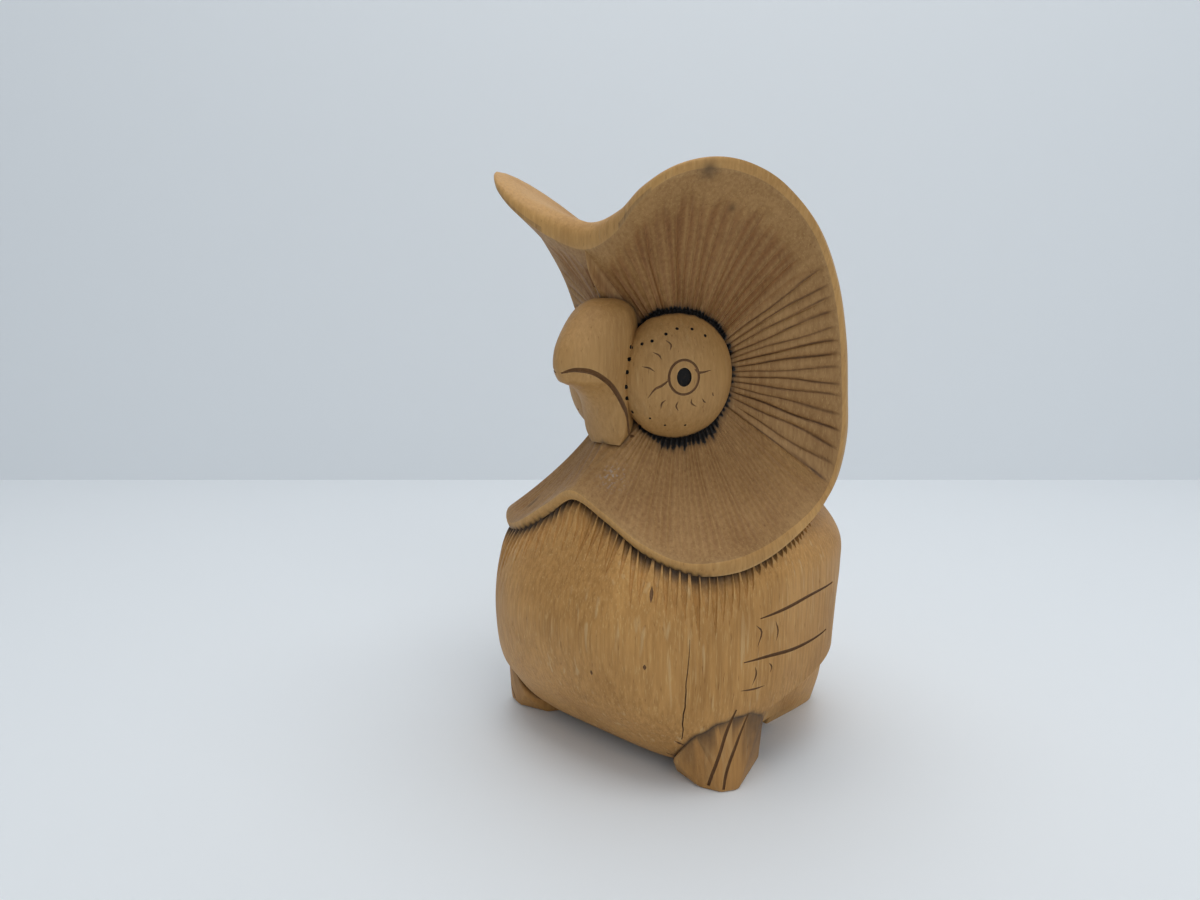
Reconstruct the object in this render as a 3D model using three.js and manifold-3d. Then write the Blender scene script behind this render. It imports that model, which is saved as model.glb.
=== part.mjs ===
// A hand-sized owl carved from one block of pale brown wood.
// Millimetres, +Z up. The owl faces -Y and its own left side is +X.
// The origin is on the surface that it stands on, below the middle of its bounding box.
import * as THREE from "three";
import { ConvexGeometry } from "three/addons/geometries/ConvexGeometry.js";
import { ParametricGeometry } from "three/addons/geometries/ParametricGeometry.js";
import { mergeGeometries, mergeVertices } from "three/addons/utils/BufferGeometryUtils.js";
import Module from "manifold-3d";

const wasm = await Module();
wasm.setup();

// Wood
const WOOD_COLOUR = 0xa9743c;
const WOOD_ROUGHNESS = 0.62;
const WOOD_METALNESS = 0;

// The carving is drawn about the axis of its body. This moves it to the middle of its box.
const MIDDLE_Y = -1.75;

// Hood: the wide edge that frames both cheeks. Stations run from the saddle between
// the ear tufts, round the left tuft, down the side and along the bib to the throat.
// at is the outer edge, lip leads from it to the rim of the dish,
// and back is how the outside of the hood leaves the edge.
const HOOD_STATIONS = [
  { at: [0, -26.5, 108.6], lip: [0, -2.2, -5.2], back: [0, 36, 1] },
  { at: [9, -27.5, 110.9], lip: [-0.3, -2.2, -4.9], back: [0, 36, 2] },
  { at: [17, -30, 114.5], lip: [-0.6, -1.8, -3.6], back: [-2, 38, 3] },
  { at: [23.5, -29.5, 117.2], lip: [-0.8, -1.2, -2.4], back: [-4, 38, 3] },
  { at: [28.6, -25.5, 118.4], lip: [-0.9, -1, -1.9], back: [-6, 38, 1] },
  { at: [32.3, -20, 117.4], lip: [-0.9, -0.9, -1.6], back: [-6, 36, -2] },
  { at: [35, -13.4, 114.1], lip: [-0.8, -0.9, -1.2], back: [-6, 34, -5] },
  { at: [36.6, -5.3, 107.5], lip: [-0.6, -1, -0.8], back: [-5, 30, -6] },
  { at: [36.8, 1.7, 98.3], lip: [-0.5, -1, -0.4], back: [-5, 27, -6] },
  { at: [36.3, 6.7, 87], lip: [-0.4, -1, -0.2], back: [-4, 24, -6] },
  { at: [35, 10.5, 76], lip: [-0.4, -1, 0], back: [-3, 22, -4] },
  { at: [33.5, 13.6, 66], lip: [-0.4, -1, 0.2], back: [-2, 22, -2] },
  { at: [31.5, 14, 56.5], lip: [-0.4, -1, 0.5], back: [-2, 22, 0] },
  { at: [33, 6.5, 52], lip: [-0.5, -1.2, 0.9], back: [-8, 20, 2] },
  { at: [33.5, -2, 48.5], lip: [-0.6, -1.4, 1.5], back: [-10, 22, 4] },
  { at: [33.5, -13, 45.5], lip: [-0.6, -1.5, 2.2], back: [-12, 22, 4] },
  { at: [31.2, -21.3, 43.8], lip: [-0.5, -1.5, 2.7], back: [-12, 26, 4] },
  { at: [24.9, -26.6, 43.4], lip: [-0.3, -1.4, 2.7], back: [-10, 28, 4] },
  { at: [17, -30.2, 46.6], lip: [0, -1.2, 2.5], back: [-6, 30, 4] },
  { at: [8, -31.2, 51.4], lip: [0, -1, 2.2], back: [0, 30, 4] },
  { at: [0, -31.8, 54.7], lip: [0, -0.8, 2], back: [0, 30, 4] },
];
// The right side was carved by eye: its tuft is taller and sharper, and its bib hangs lower.
const RIGHT_SHIFTS = new Map([
  [3, [0, -0.4, 0.8]],
  [4, [0.2, -0.5, 1.9]],
  [5, [0, -0.2, 1]],
  [17, [0, 0, -0.8]],
  [18, [0, -0.3, -1.8]],
  [19, [0, -0.1, -1.1]],
]);
const LIP_SWELL = 0.14;
const LIP_ROWS = 2;
const BACK_POLE = [0, 34.5, 61];
const BACK_ROWS = 6;

// Cheek dishes: each sinks from the hood's rim to a hollow behind the eye,
// and the two meet at a ridge on the middle plane.
const DISH_CENTRE = new THREE.Vector3(9.3, -9, 78.5);
const DISH_YAW = 50;
const DISH_CURVE = 1.7;
const DISH_RINGS = 7;
const RING_SPREAD = 0.75;
const RIDGE = [
  [0, -32.6, 56.7],
  [0, -27, 61.5],
  [0, -22, 67],
  [0, -18, 73],
  [0, -17, 79],
  [0, -19, 87],
  [0, -24, 94],
  [0, -27.5, 99],
  [0, -28.7, 103.4],
];

// Flutes: shallow gouge cuts that spread over each dish from the eye.
const RIM_FLUTES = 40;
const RIDGE_FLUTES = 13;
const FLUTE_DEPTH = 0.55;
const FLUTE_START = [0.15, 0.35];
const FLUTE_END = [0.93, 1];

// Eyes: a bulge on each cheek with a ringed pupil.
const EYE_CENTRE = [9.9, -12.6, 78.8];
const EYE_RADII = [11.8, 7.6, 13];
const EYE_YAW = 62;
const PUPIL_CENTRE = [15.9, -17.4, 79.1];
const PUPIL_YAW = 57;
const PUPIL_RADII = [1.5, 1.85];
const PUPIL_DEPTH = 0.5;
const EYE_RING_RADIUS = 3.25;
const EYE_RING_SINK = 0.3;
const EYE_RING_CUT = 0.4;

// Beak: level sections from the chin to the root, with a nose-shaped front.
const BEAK_SEAM_Y = -22.9;
const BEAK_BACK_Y = -12;
const BEAK_NARROWING = 0.6;
const BEAK_POINT = 1.85;
const BEAK_SIDES = 24;
const BEAK_SECTIONS = [
  { z: 65, half: 4, front: -23.4 },
  { z: 67.5, half: 5.4, front: -24.4 },
  { z: 70.5, half: 5.8, front: -25.5 },
  { z: 73.4, half: 6, front: -26.9 },
  { z: 75.6, half: 6.1, front: -28.9 },
  { z: 76.9, half: 6.2, front: -30.9 },
  { z: 77.8, half: 6.3, front: -33.4 },
  { z: 78.6, half: 6.4, front: -35 },
  { z: 81, half: 6.6, front: -36.2 },
  { z: 84.2, half: 6.8, front: -35.8 },
  { z: 87, half: 6.9, front: -34.2 },
  { z: 89.7, half: 6.6, front: -32 },
  { z: 91.8, half: 5.8, front: -29.9 },
  { z: 93.2, half: 4.3, front: -27.9 },
  { z: 94, half: 2.6, front: -25.8 },
  { z: 94.2, half: 1, front: -24 },
];

// The line that parts the lower half of the beak from the upper one, from the tip down.
const BEAK_LINE = [
  [2.2, -35.2, 80.7],
  [4.6, -31.8, 80.5],
  [5.6, -28.4, 78.6],
  [5.8, -25.2, 75.4],
  [5.8, -22.9, 71.8],
  [5, -20.4, 67.4],
];
const BEAK_LINE_RADIUS = 0.6;
const BEAK_LINE_STEPS = 7;

// Body: level sections from the base to the neck, hidden in the head above that.
const BODY_AXIS_Y = -3;
const BODY_SIDES = 40;
const BODY_SECTIONS = [
  { z: 3, side: 26.5, front: -24, back: 22, square: 4.5 },
  { z: 6, side: 29.5, front: -27.5, back: 25, square: 3.9 },
  { z: 10, side: 32, front: -31, back: 27.5, square: 3.4 },
  { z: 15, side: 34, front: -35, back: 27, square: 3 },
  { z: 22, side: 35.2, front: -38, back: 28.5, square: 2.6 },
  { z: 30, side: 35.4, front: -39.5, back: 32, square: 2.4 },
  { z: 37, side: 35.4, front: -38.4, back: 34.5, square: 2.35 },
  { z: 43, side: 34.6, front: -36, back: 36, square: 2.3 },
  { z: 49, side: 30.5, front: -33.2, back: 35.4, square: 2 },
  { z: 55, side: 22, front: -29.8, back: 33, square: 1.6 },
  { z: 62, side: 12, front: -14, back: 27, square: 1.8 },
];

// Feet: wedges that run from the flanks out to the toes, flat underneath.
const FOOT_SOLE = [
  [15, -16],
  [19, -22],
  [26.7, -24],
  [30.9, -22.6],
  [32.6, -19.6],
  [30.5, -14],
  [28, -6],
  [14, -6],
];
const FOOT_INSTEP = [
  [21.7, -26.5, 5],
  [26.9, -26.6, 12],
  [30.1, -24.3, 16],
  [32, -20.7, 16.7],
  [33.2, -16.5, 16.1],
  [33.3, -12.2, 15.2],
  [22, -8, 14],
];
const TOE_CUTS = [
  [
    [32.2, -20.5, 17],
    [31, -22.6, 10.7],
    [28.4, -24, 0],
  ],
  [
    [33, -17.4, 15.6],
    [32.3, -20.1, 9.8],
    [31, -22.6, 0],
  ],
];
const TOE_CUT_RADIUS = 0.45;
const TOE_CUT_STEPS = 5;

// Tail: a broad stub under the back that reaches down to the surface.
const TAIL_SOLE = [
  [20.5, 8],
  [20.8, 20],
  [20, 27],
  [15.2, 32],
  [8, 34.2],
];
const TAIL_WAIST_Z = 9;
const TAIL_WAIST = [
  [24, 8],
  [24.5, 18],
  [22.8, 26],
  [16.5, 32.5],
  [8.5, 35.5],
];
const TAIL_TOP_Z = 22;
const TAIL_TOP = [
  [27, 6],
  [26.6, 16],
  [24.5, 23.5],
  [17.5, 28.5],
  [8.5, 31],
];

// Coves: the hollows under the wings, between each foot and the tail.
const COVE_FRONT_Y = -12;
const COVE_BACK_Y = 45;
const COVE_FLOOR_Z = -1;
const COVE_ROOF_FRONT_Z = 14.5;
const COVE_ROOF_SLOPE = 0.22;
const COVE_FRONT_X = { floor: 22, roof: 29.5 };
const COVE_BACK_X = { floor: 20, roof: 28.5 };
const COVE_OUTER_X = 50;

// Wings: two level knife cuts on each flank.
const WING_CUTS = [
  { z: 34.4, rise: 1.2, from: -16, to: 12 },
  { z: 26.4, rise: -0.4, from: -19.6, to: 12 },
];
const WING_CUT_RADIUS = 0.45;
const WING_CUT_STEPS = 7;
const CUT_SIDES = 6;

const yaw = THREE.MathUtils.degToRad(DISH_YAW);
const ACROSS = new THREE.Vector3(Math.cos(yaw), Math.sin(yaw), 0);
const OUTWARD = new THREE.Vector3(Math.sin(yaw), -Math.cos(yaw), 0);
const FLUTES = RIM_FLUTES + RIDGE_FLUTES;
const RIM_SHARE = RIM_FLUTES / FLUTES;

function vector(numbers) {
  return new THREE.Vector3(...numbers);
}

function smooth(curvePoints) {
  return new THREE.CatmullRomCurve3(curvePoints, false, "catmullrom");
}

// A smooth curve through one half of a symmetrical line, square to the middle plane.
function halfCurve(points) {
  const last = points.length - 1;
  const before = vector(points[1]).setX(-points[1][0]);
  const after = vector(points[last - 1]).setX(-points[last - 1][0]);
  const curve = smooth([before, ...points.map(vector), after]);
  return (t) => curve.getPoint((1 + t * last) / (last + 2));
}

// A point seen along the dish's axis: across, up and outward from its centre.
function inDish(point) {
  const d = point.clone().sub(DISH_CENTRE);
  return new THREE.Vector3(d.dot(ACROSS), d.z, d.dot(OUTWARD));
}

function fromDish(across, up, outward) {
  return DISH_CENTRE.clone()
    .addScaledVector(ACROSS, across)
    .addScaledVector(OUTWARD, outward)
    .setZ(DISH_CENTRE.z + up);
}

// Finds where a curve is when it is walked at an even pace round the dish's axis.
function evenTurn(curve) {
  const samples = 400;
  const turns = [0];
  let before = inDish(curve(0));
  for (let i = 1; i <= samples; i++) {
    const here = inDish(curve(i / samples));
    const cross = before.x * here.y - before.y * here.x;
    const dot = before.x * here.x + before.y * here.y;
    turns.push(turns[i - 1] + Math.atan2(cross, dot));
    before = here;
  }
  return (share) => {
    const goal = share * turns[samples];
    let i = 0;
    while (i < samples - 1 && Math.abs(turns[i + 1]) < Math.abs(goal)) i++;
    const part = (goal - turns[i]) / (turns[i + 1] - turns[i]);
    return THREE.MathUtils.clamp((i + part) / samples, 0, 1);
  };
}

// Half of the head's surface, on the +X side, from one half of the hood.
function headHalf(stations) {
  const edgeAt = halfCurve(stations.map((station) => station.at));
  const lipAt = halfCurve(stations.map((station) => station.lip));
  const backAt = halfCurve(stations.map((station) => station.back));
  const ridge = smooth(RIDGE.map(vector));
  const rimAt = (t) => edgeAt(t).add(lipAt(t));
  const rimPace = evenTurn(rimAt);
  const ridgePace = evenTurn((t) => ridge.getPoint(t));

  // Round the dish: u runs over the hood's rim first and then up the ridge.
  function dishRim(u) {
    if (u <= RIM_SHARE) return rimAt(rimPace(u / RIM_SHARE));
    return ridge.getPoint(ridgePace((u - RIM_SHARE) / (1 - RIM_SHARE)));
  }

  function dishPoint(u, v) {
    const rim = inDish(dishRim(THREE.MathUtils.euclideanModulo(u, 1)));
    return fromDish(rim.x * v, rim.y * v, rim.z * v ** DISH_CURVE);
  }

  function dishSurface(u, ring, target) {
    const v = ring ** RING_SPREAD;
    const point = dishPoint(u, v);
    const { smoothstep } = THREE.MathUtils;
    const fade = smoothstep(v, ...FLUTE_START) * (1 - smoothstep(v, ...FLUTE_END));
    if (fade > 0) {
      const step = 1e-3;
      const along = dishPoint(u + step, v).sub(dishPoint(u - step, v));
      const out = dishPoint(u, v + step).sub(dishPoint(u, v - step));
      const normal = along.cross(out).normalize();
      const wave = Math.cos(2 * Math.PI * FLUTES * u);
      point.addScaledVector(normal, 0.5 * FLUTE_DEPTH * fade * wave);
    }
    target.copy(point);
  }

  function lipSurface(u, v, target) {
    const t = rimPace(u);
    const lip = lipAt(t);
    const swell = LIP_SWELL * lip.length() * Math.sin(Math.PI * v);
    target.copy(edgeAt(t)).addScaledVector(lip, 1 - v);
    target.add(new THREE.Vector3(0, -swell, 0.6 * swell));
  }

  function backSurface(u, v, target) {
    const t = rimPace(u);
    const start = edgeAt(t);
    const end = vector(BACK_POLE);
    const arrive = end.clone().sub(start).setY(0);
    target
      .copy(start)
      .multiplyScalar(2 * v ** 3 - 3 * v ** 2 + 1)
      .addScaledVector(backAt(t), v ** 3 - 2 * v ** 2 + v)
      .addScaledVector(end, 3 * v ** 2 - 2 * v ** 3)
      .addScaledVector(arrive, v ** 3 - v ** 2);
  }

  return mergeGeometries([
    new ParametricGeometry(dishSurface, 2 * FLUTES, DISH_RINGS),
    new ParametricGeometry(lipSurface, 2 * RIM_FLUTES, LIP_ROWS),
    new ParametricGeometry(backSurface, 2 * RIM_FLUTES, BACK_ROWS),
  ]);
}

function withIndex(geometry) {
  const shape = geometry.clone();
  if (!shape.index) shape.setIndex([...Array(shape.attributes.position.count).keys()]);
  return shape;
}

// The same shape on the owl's other side.
function mirrored(geometry) {
  const shape = withIndex(geometry).scale(-1, 1, 1);
  const corners = shape.index.array;
  for (let i = 0; i < corners.length; i += 3) {
    [corners[i + 1], corners[i + 2]] = [corners[i + 2], corners[i + 1]];
  }
  return shape;
}

// One closed solid from patches whose edges meet.
function solid(...patches) {
  const bare = patches.map((patch) => {
    const shape = withIndex(patch);
    shape.deleteAttribute("normal");
    shape.deleteAttribute("uv");
    return shape;
  });
  const merged = mergeVertices(mergeGeometries(bare), 1e-4);
  const corners = [];
  const index = merged.index.array;
  for (let i = 0; i < index.length; i += 3) {
    const [a, b, c] = [index[i], index[i + 1], index[i + 2]];
    if (a !== b && b !== c && c !== a) corners.push(a, b, c);
  }
  return new wasm.Manifold(
    new wasm.Mesh({
      numProp: 3,
      vertProperties: merged.attributes.position.array,
      triVerts: new Uint32Array(corners),
    }),
  );
}

function head() {
  const rightStations = HOOD_STATIONS.map((station, i) => {
    const shift = RIGHT_SHIFTS.get(i) ?? [0, 0, 0];
    return { ...station, at: station.at.map((value, axis) => value + shift[axis]) };
  });
  return solid(headHalf(HOOD_STATIONS), mirrored(headHalf(rightStations)));
}

// A stack of rounded sections, closed at both ends.
// sectionAt gives the section at a share of the height.
function stack(sectionAt, sides, rows) {
  function surface(u, v, target) {
    const row = v * (rows + 2);
    const open = row > 0.5 && row < rows + 1.5 ? 1 : 0;
    const section = sectionAt(THREE.MathUtils.clamp((row - 1) / rows, 0, 1));
    const cos = Math.cos(2 * Math.PI * u);
    const sin = Math.sin(2 * Math.PI * u);
    const power = 2 / section.square;
    const reach = sin < 0 ? section.middle - section.front : section.back - section.middle;
    const half = section.side * (1 - section.narrowing * Math.max(0, sin));
    target.set(
      open * Math.sign(cos) * Math.abs(cos) ** power * half,
      section.middle + open * Math.sign(sin) * Math.abs(sin) ** power * reach,
      section.z,
    );
  }
  return new ParametricGeometry(surface, sides, rows + 2);
}

// The body's section at a share of its height, smooth between the ones that are stated.
function bodySection(share) {
  const section = { middle: BODY_AXIS_Y, narrowing: 0 };
  for (const name of ["z", "side", "front", "back", "square"]) {
    const line = smooth(BODY_SECTIONS.map((stated, i) => new THREE.Vector3(i, stated[name], 0)));
    section[name] = line.getPoint(share).y;
  }
  return section;
}

function beakSection(share) {
  const stated = BEAK_SECTIONS[Math.round(share * (BEAK_SECTIONS.length - 1))];
  return {
    z: stated.z,
    side: stated.half,
    front: stated.front,
    back: BEAK_BACK_Y,
    middle: BEAK_SEAM_Y,
    narrowing: BEAK_NARROWING,
    square: BEAK_POINT,
  };
}

// How far out the flank is at a height and a distance back.
function flankX(y, z) {
  let low = 0;
  let high = 1;
  while (high - low > 1e-4) {
    const middle = (low + high) / 2;
    if (bodySection(middle).z < z) low = middle;
    else high = middle;
  }
  const section = bodySection(low);
  const reach = y < section.middle ? section.middle - section.front : section.back - section.middle;
  const share = Math.abs(y - section.middle) / reach;
  return section.side * (1 - share ** section.square) ** (1 / section.square);
}

function hull(points) {
  return new ConvexGeometry(points.map(vector));
}

function atHeight(outline, z) {
  return outline.map(([x, y]) => [x, y, z]);
}

function foot() {
  return hull([...atHeight(FOOT_SOLE, 0), ...FOOT_INSTEP]);
}

function tail() {
  const half = [
    ...atHeight(TAIL_SOLE, 0),
    ...atHeight(TAIL_WAIST, TAIL_WAIST_Z),
    ...atHeight(TAIL_TOP, TAIL_TOP_Z),
  ];
  return hull([...half, ...half.map(([x, y, z]) => [-x, y, z])]);
}

function cove() {
  const roofBackZ = COVE_ROOF_FRONT_Z + COVE_ROOF_SLOPE * (COVE_BACK_Y - COVE_FRONT_Y);
  return hull([
    [COVE_FRONT_X.floor, COVE_FRONT_Y, COVE_FLOOR_Z],
    [COVE_FRONT_X.roof, COVE_FRONT_Y, COVE_ROOF_FRONT_Z],
    [COVE_BACK_X.floor, COVE_BACK_Y, COVE_FLOOR_Z],
    [COVE_BACK_X.roof, COVE_BACK_Y, roofBackZ],
    [COVE_OUTER_X, COVE_FRONT_Y, COVE_FLOOR_Z],
    [COVE_OUTER_X, COVE_FRONT_Y, COVE_ROOF_FRONT_Z],
    [COVE_OUTER_X, COVE_BACK_Y, COVE_FLOOR_Z],
    [COVE_OUTER_X, COVE_BACK_Y, roofBackZ],
  ]);
}

function eyeBall() {
  return new THREE.SphereGeometry(1, 24, 12)
    .scale(...EYE_RADII)
    .rotateZ(THREE.MathUtils.degToRad(EYE_YAW))
    .translate(...EYE_CENTRE);
}

// Turns a shape that faces +Z to look out of the eye, and puts it at the pupil.
function atPupil(geometry, sink) {
  const turned = geometry
    .translate(0, 0, -sink)
    .rotateX(Math.PI / 2)
    .rotateZ(THREE.MathUtils.degToRad(PUPIL_YAW));
  return turned.translate(...PUPIL_CENTRE);
}

function pupil() {
  const disc = new THREE.CylinderGeometry(1, 1, 2, 12).rotateX(Math.PI / 2);
  return atPupil(disc.scale(...PUPIL_RADII, 1), PUPIL_DEPTH - 1);
}

function eyeRing() {
  return atPupil(new THREE.TorusGeometry(EYE_RING_RADIUS, EYE_RING_CUT, CUT_SIDES, 18), EYE_RING_SINK);
}

// A round-bottomed knife cut along a line of points.
function cut(points, radius, steps) {
  const section = new THREE.Shape().absarc(0, 0, radius, 0, 2 * Math.PI);
  return new THREE.ExtrudeGeometry(section, {
    extrudePath: smooth(points.map(vector)),
    steps,
    curveSegments: CUT_SIDES / 2,
  });
}

function wingCut({ z, rise, from, to }) {
  const points = [];
  for (let i = 0; i <= WING_CUT_STEPS; i++) {
    const share = i / WING_CUT_STEPS;
    const y = from + share * (to - from);
    const height = z + share * rise;
    points.push([flankX(y, height), y, height]);
  }
  return cut(points, WING_CUT_RADIUS, WING_CUT_STEPS);
}

function toeCut(points) {
  return cut(points, TOE_CUT_RADIUS, TOE_CUT_STEPS);
}

function carvedOwl() {
  const sides = [(shape) => shape, mirrored];
  let owl = solid(stack(bodySection, BODY_SIDES, BODY_SECTIONS.length - 1));
  for (const side of sides) {
    owl = owl.subtract(solid(side(cove())));
    owl = owl.add(solid(side(foot())));
    owl = owl.add(solid(side(eyeBall())));
  }
  owl = owl.add(solid(tail()));
  owl = owl.add(head());
  owl = owl.add(solid(stack(beakSection, BEAK_SIDES, BEAK_SECTIONS.length - 1)));
  for (const side of sides) {
    owl = owl.subtract(solid(side(pupil())));
    owl = owl.subtract(solid(side(eyeRing())));
    owl = owl.subtract(solid(side(cut(BEAK_LINE, BEAK_LINE_RADIUS, BEAK_LINE_STEPS))));
    for (const line of WING_CUTS) owl = owl.subtract(solid(side(wingCut(line))));
    for (const line of TOE_CUTS) owl = owl.subtract(solid(side(toeCut(line))));
  }
  return owl;
}

function woodenMesh(name, shape) {
  const { vertProperties, triVerts } = shape.getMesh();
  const geometry = new THREE.BufferGeometry();
  geometry.setAttribute("position", new THREE.BufferAttribute(vertProperties, 3));
  geometry.setIndex(new THREE.BufferAttribute(triVerts, 1));
  geometry.computeVertexNormals();
  const wood = new THREE.MeshStandardMaterial({
    color: WOOD_COLOUR,
    roughness: WOOD_ROUGHNESS,
    metalness: WOOD_METALNESS,
    flatShading: true,
  });
  const mesh = new THREE.Mesh(geometry, wood);
  mesh.name = name;
  return mesh;
}

const owl = new THREE.Group();
owl.add(woodenMesh("carved_owl", carvedOwl()));
owl.position.y = -MIDDLE_Y;

export default owl;
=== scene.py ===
"""A hand-sized owl carved from one block of pale brown wood, on a pale surface in soft light.

Lengths are in millimetres in the carver's frame: +Z up, the owl faces -Y, its own left
side is +X, and the axis runs up through its body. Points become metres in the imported
model's frame only when a mesh is made.
"""

import logging
import math
from dataclasses import dataclass, field
from enum import Enum
from functools import cached_property

import bmesh
import bpy
import numpy as np
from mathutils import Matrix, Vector
from mathutils.bvhtree import BVHTree
from mathutils.kdtree import KDTree


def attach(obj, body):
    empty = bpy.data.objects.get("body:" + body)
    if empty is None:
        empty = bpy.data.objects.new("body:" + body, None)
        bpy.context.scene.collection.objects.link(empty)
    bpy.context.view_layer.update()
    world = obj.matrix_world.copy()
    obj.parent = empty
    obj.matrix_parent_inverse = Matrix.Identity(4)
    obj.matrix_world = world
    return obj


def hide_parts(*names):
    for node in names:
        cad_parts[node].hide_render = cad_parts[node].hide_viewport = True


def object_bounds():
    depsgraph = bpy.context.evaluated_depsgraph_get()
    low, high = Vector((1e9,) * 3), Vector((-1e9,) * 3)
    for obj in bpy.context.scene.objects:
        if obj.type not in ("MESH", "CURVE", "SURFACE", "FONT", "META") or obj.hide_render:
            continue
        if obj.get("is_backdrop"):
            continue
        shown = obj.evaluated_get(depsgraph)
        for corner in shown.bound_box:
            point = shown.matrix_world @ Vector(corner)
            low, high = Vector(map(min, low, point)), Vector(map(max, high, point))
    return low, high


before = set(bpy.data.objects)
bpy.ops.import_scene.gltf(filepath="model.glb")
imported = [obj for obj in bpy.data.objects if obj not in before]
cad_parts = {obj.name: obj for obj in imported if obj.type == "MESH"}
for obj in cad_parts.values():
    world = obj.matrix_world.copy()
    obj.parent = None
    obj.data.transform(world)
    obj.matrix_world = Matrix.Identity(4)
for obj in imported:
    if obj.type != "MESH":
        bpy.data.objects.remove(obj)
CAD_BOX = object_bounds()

Point = tuple[float, float, float]
log = logging.getLogger("carved_owl")

METRES = 0.001
# How far the body's axis stands behind the middle of the owl's box.
AXIS_Y = 1.75
MERGE_DISTANCE = 2e-7
BOX_SLACK = 1e-7


class Finish(Enum):
    """The finishes that a face of the owl can have."""

    BODY = "body_wood"
    DISH = "fluted_wood"
    HOOD = "hood_wood"
    FACE = "face_wood"
    FOOT = "foot_wood"
    GOUGE = "gouged_wood"
    CUT = "knife_cut"
    PUPIL = "black_stain"
    SCORCH = "burnt_wood"


class Mask(Enum):
    """What is written on each vertex of the owl for its finishes to read."""

    # Valley, slit, crease and fringe darken the colour as painted shade in hollows, creases and
    # under the bib; edge lightens proud crests as a painted highlight.
    VALLEY = "valley"
    SLIT = "slit"
    CREASE = "crease"
    BURN = "burn"
    DUST = "dust"
    EDGE = "edge"
    FRINGE = "fringe"
    STAIN = "stain"


def smoothstep(low: float, high: float, value: np.ndarray) -> np.ndarray:
    """Goes smoothly from 0 at low to 1 at high, whichever of them is the greater."""
    t = np.clip((np.asarray(value, float) - low) / (high - low), 0, 1)
    return t * t * (3 - 2 * t)


def spline(knots: np.ndarray, share: np.ndarray) -> np.ndarray:
    """Follows the smooth curve through some knots.

    Args:
        knots: one row for each knot.
        share: how far along the curve each wanted point is, from 0 to 1.

    Returns:
        One row for each share.
    """
    knots = np.asarray(knots, float)
    last = len(knots) - 1
    padded = np.vstack([2 * knots[0] - knots[1], knots, 2 * knots[-1] - knots[-2]])
    place = np.clip(np.asarray(share, float), 0, 1) * last
    i = np.minimum(place.astype(int), last - 1)
    w = (place - i)[..., None]
    p0, p1, p2, p3 = padded[i], padded[i + 1], padded[i + 2], padded[i + 3]
    square = 2 * p0 - 5 * p1 + 4 * p2 - p3
    cube = 3 * p1 - p0 - 3 * p2 + p3
    return 0.5 * (2 * p1 + (p2 - p0) * w + square * w**2 + cube * w**3)


def half_spline(knots: np.ndarray, share: np.ndarray) -> np.ndarray:
    """Follows one half of a symmetrical line, square to the middle plane at both ends."""
    knots = np.asarray(knots, float)
    flip = np.array([-1, 1, 1])
    whole = np.vstack([knots[1] * flip, knots, knots[-2] * flip])
    last = len(knots) - 1
    return spline(whole, (1 + np.asarray(share) * last) / (last + 2))


def mirror(points: np.ndarray) -> np.ndarray:
    """The same points on the owl's other side."""
    return np.asarray(points, float) * np.array([-1, 1, 1])


@dataclass
class Shell:
    """A closed skin in millimetres, before it is a mesh."""

    points: np.ndarray
    faces: list[tuple[int, ...]]

    def mirrored(self) -> "Shell":
        """The same skin on the owl's other side."""
        return Shell(mirror(self.points), [face[::-1] for face in self.faces])

    def joined(self, *others: "Shell") -> "Shell":
        """Puts several skins in one.

        Args:
            others: the skins to add.

        Returns:
            One skin, whose shared edges are still double.
        """
        points, faces = [self.points], list(self.faces)
        start = len(self.points)
        for other in others:
            points.append(other.points)
            faces += [tuple(i + start for i in face) for face in other.faces]
            start += len(other.points)
        return Shell(np.vstack(points), faces)

    def made(self, name: str, finish: Finish) -> bpy.types.Object:
        """Makes the mesh, with its shared points merged and its faces turned out.

        Args:
            name: the new object's name.
            finish: the finish of all its faces.

        Returns:
            The object, in metres.
        """
        mesh = bpy.data.meshes.new(name)
        placed = (self.points + np.array([0, AXIS_Y, 0])) * METRES
        mesh.from_pydata(placed.tolist(), [], self.faces)
        edit = bmesh.new()
        edit.from_mesh(mesh)
        bmesh.ops.remove_doubles(edit, verts=edit.verts, dist=MERGE_DISTANCE)
        bmesh.ops.dissolve_degenerate(edit, edges=edit.edges, dist=MERGE_DISTANCE)
        bmesh.ops.recalc_face_normals(edit, faces=edit.faces)
        edit.to_mesh(mesh)
        edit.free()
        mesh.materials.append(finish_material(finish))
        piece = bpy.data.objects.new(name, mesh)
        bpy.context.scene.collection.objects.link(piece)
        return piece


def grid_faces(rows: int, columns: int, start: int = 0) -> list[tuple[int, ...]]:
    """Quads over a grid whose points are counted along its rows."""
    corner = np.arange(rows - 1)[:, None] * columns + np.arange(columns - 1) + start
    quads = np.stack([corner, corner + 1, corner + columns + 1, corner + columns], axis=-1)
    return [tuple(quad) for quad in quads.reshape(-1, 4).tolist()]


def grid(points: np.ndarray) -> Shell:
    """A skin over an array of rows and columns of points."""
    rows, columns = points.shape[:2]
    return Shell(points.reshape(-1, 3), grid_faces(rows, columns))


def finish_material(finish: Finish) -> bpy.types.Material:
    """The material of a finish, which is empty until it is dressed."""
    return bpy.data.materials.get(finish.value) or bpy.data.materials.new(finish.value)


def unit(vectors: np.ndarray) -> np.ndarray:
    """The same directions with a length of 1."""
    lengths = np.linalg.norm(vectors, axis=-1, keepdims=True)
    return vectors / np.maximum(lengths, 1e-9)


@dataclass
class Station:
    """A place on the hood's edge: the edge itself, the way to the dish, and the way back."""

    at: Point
    lip: Point
    back: Point


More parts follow.
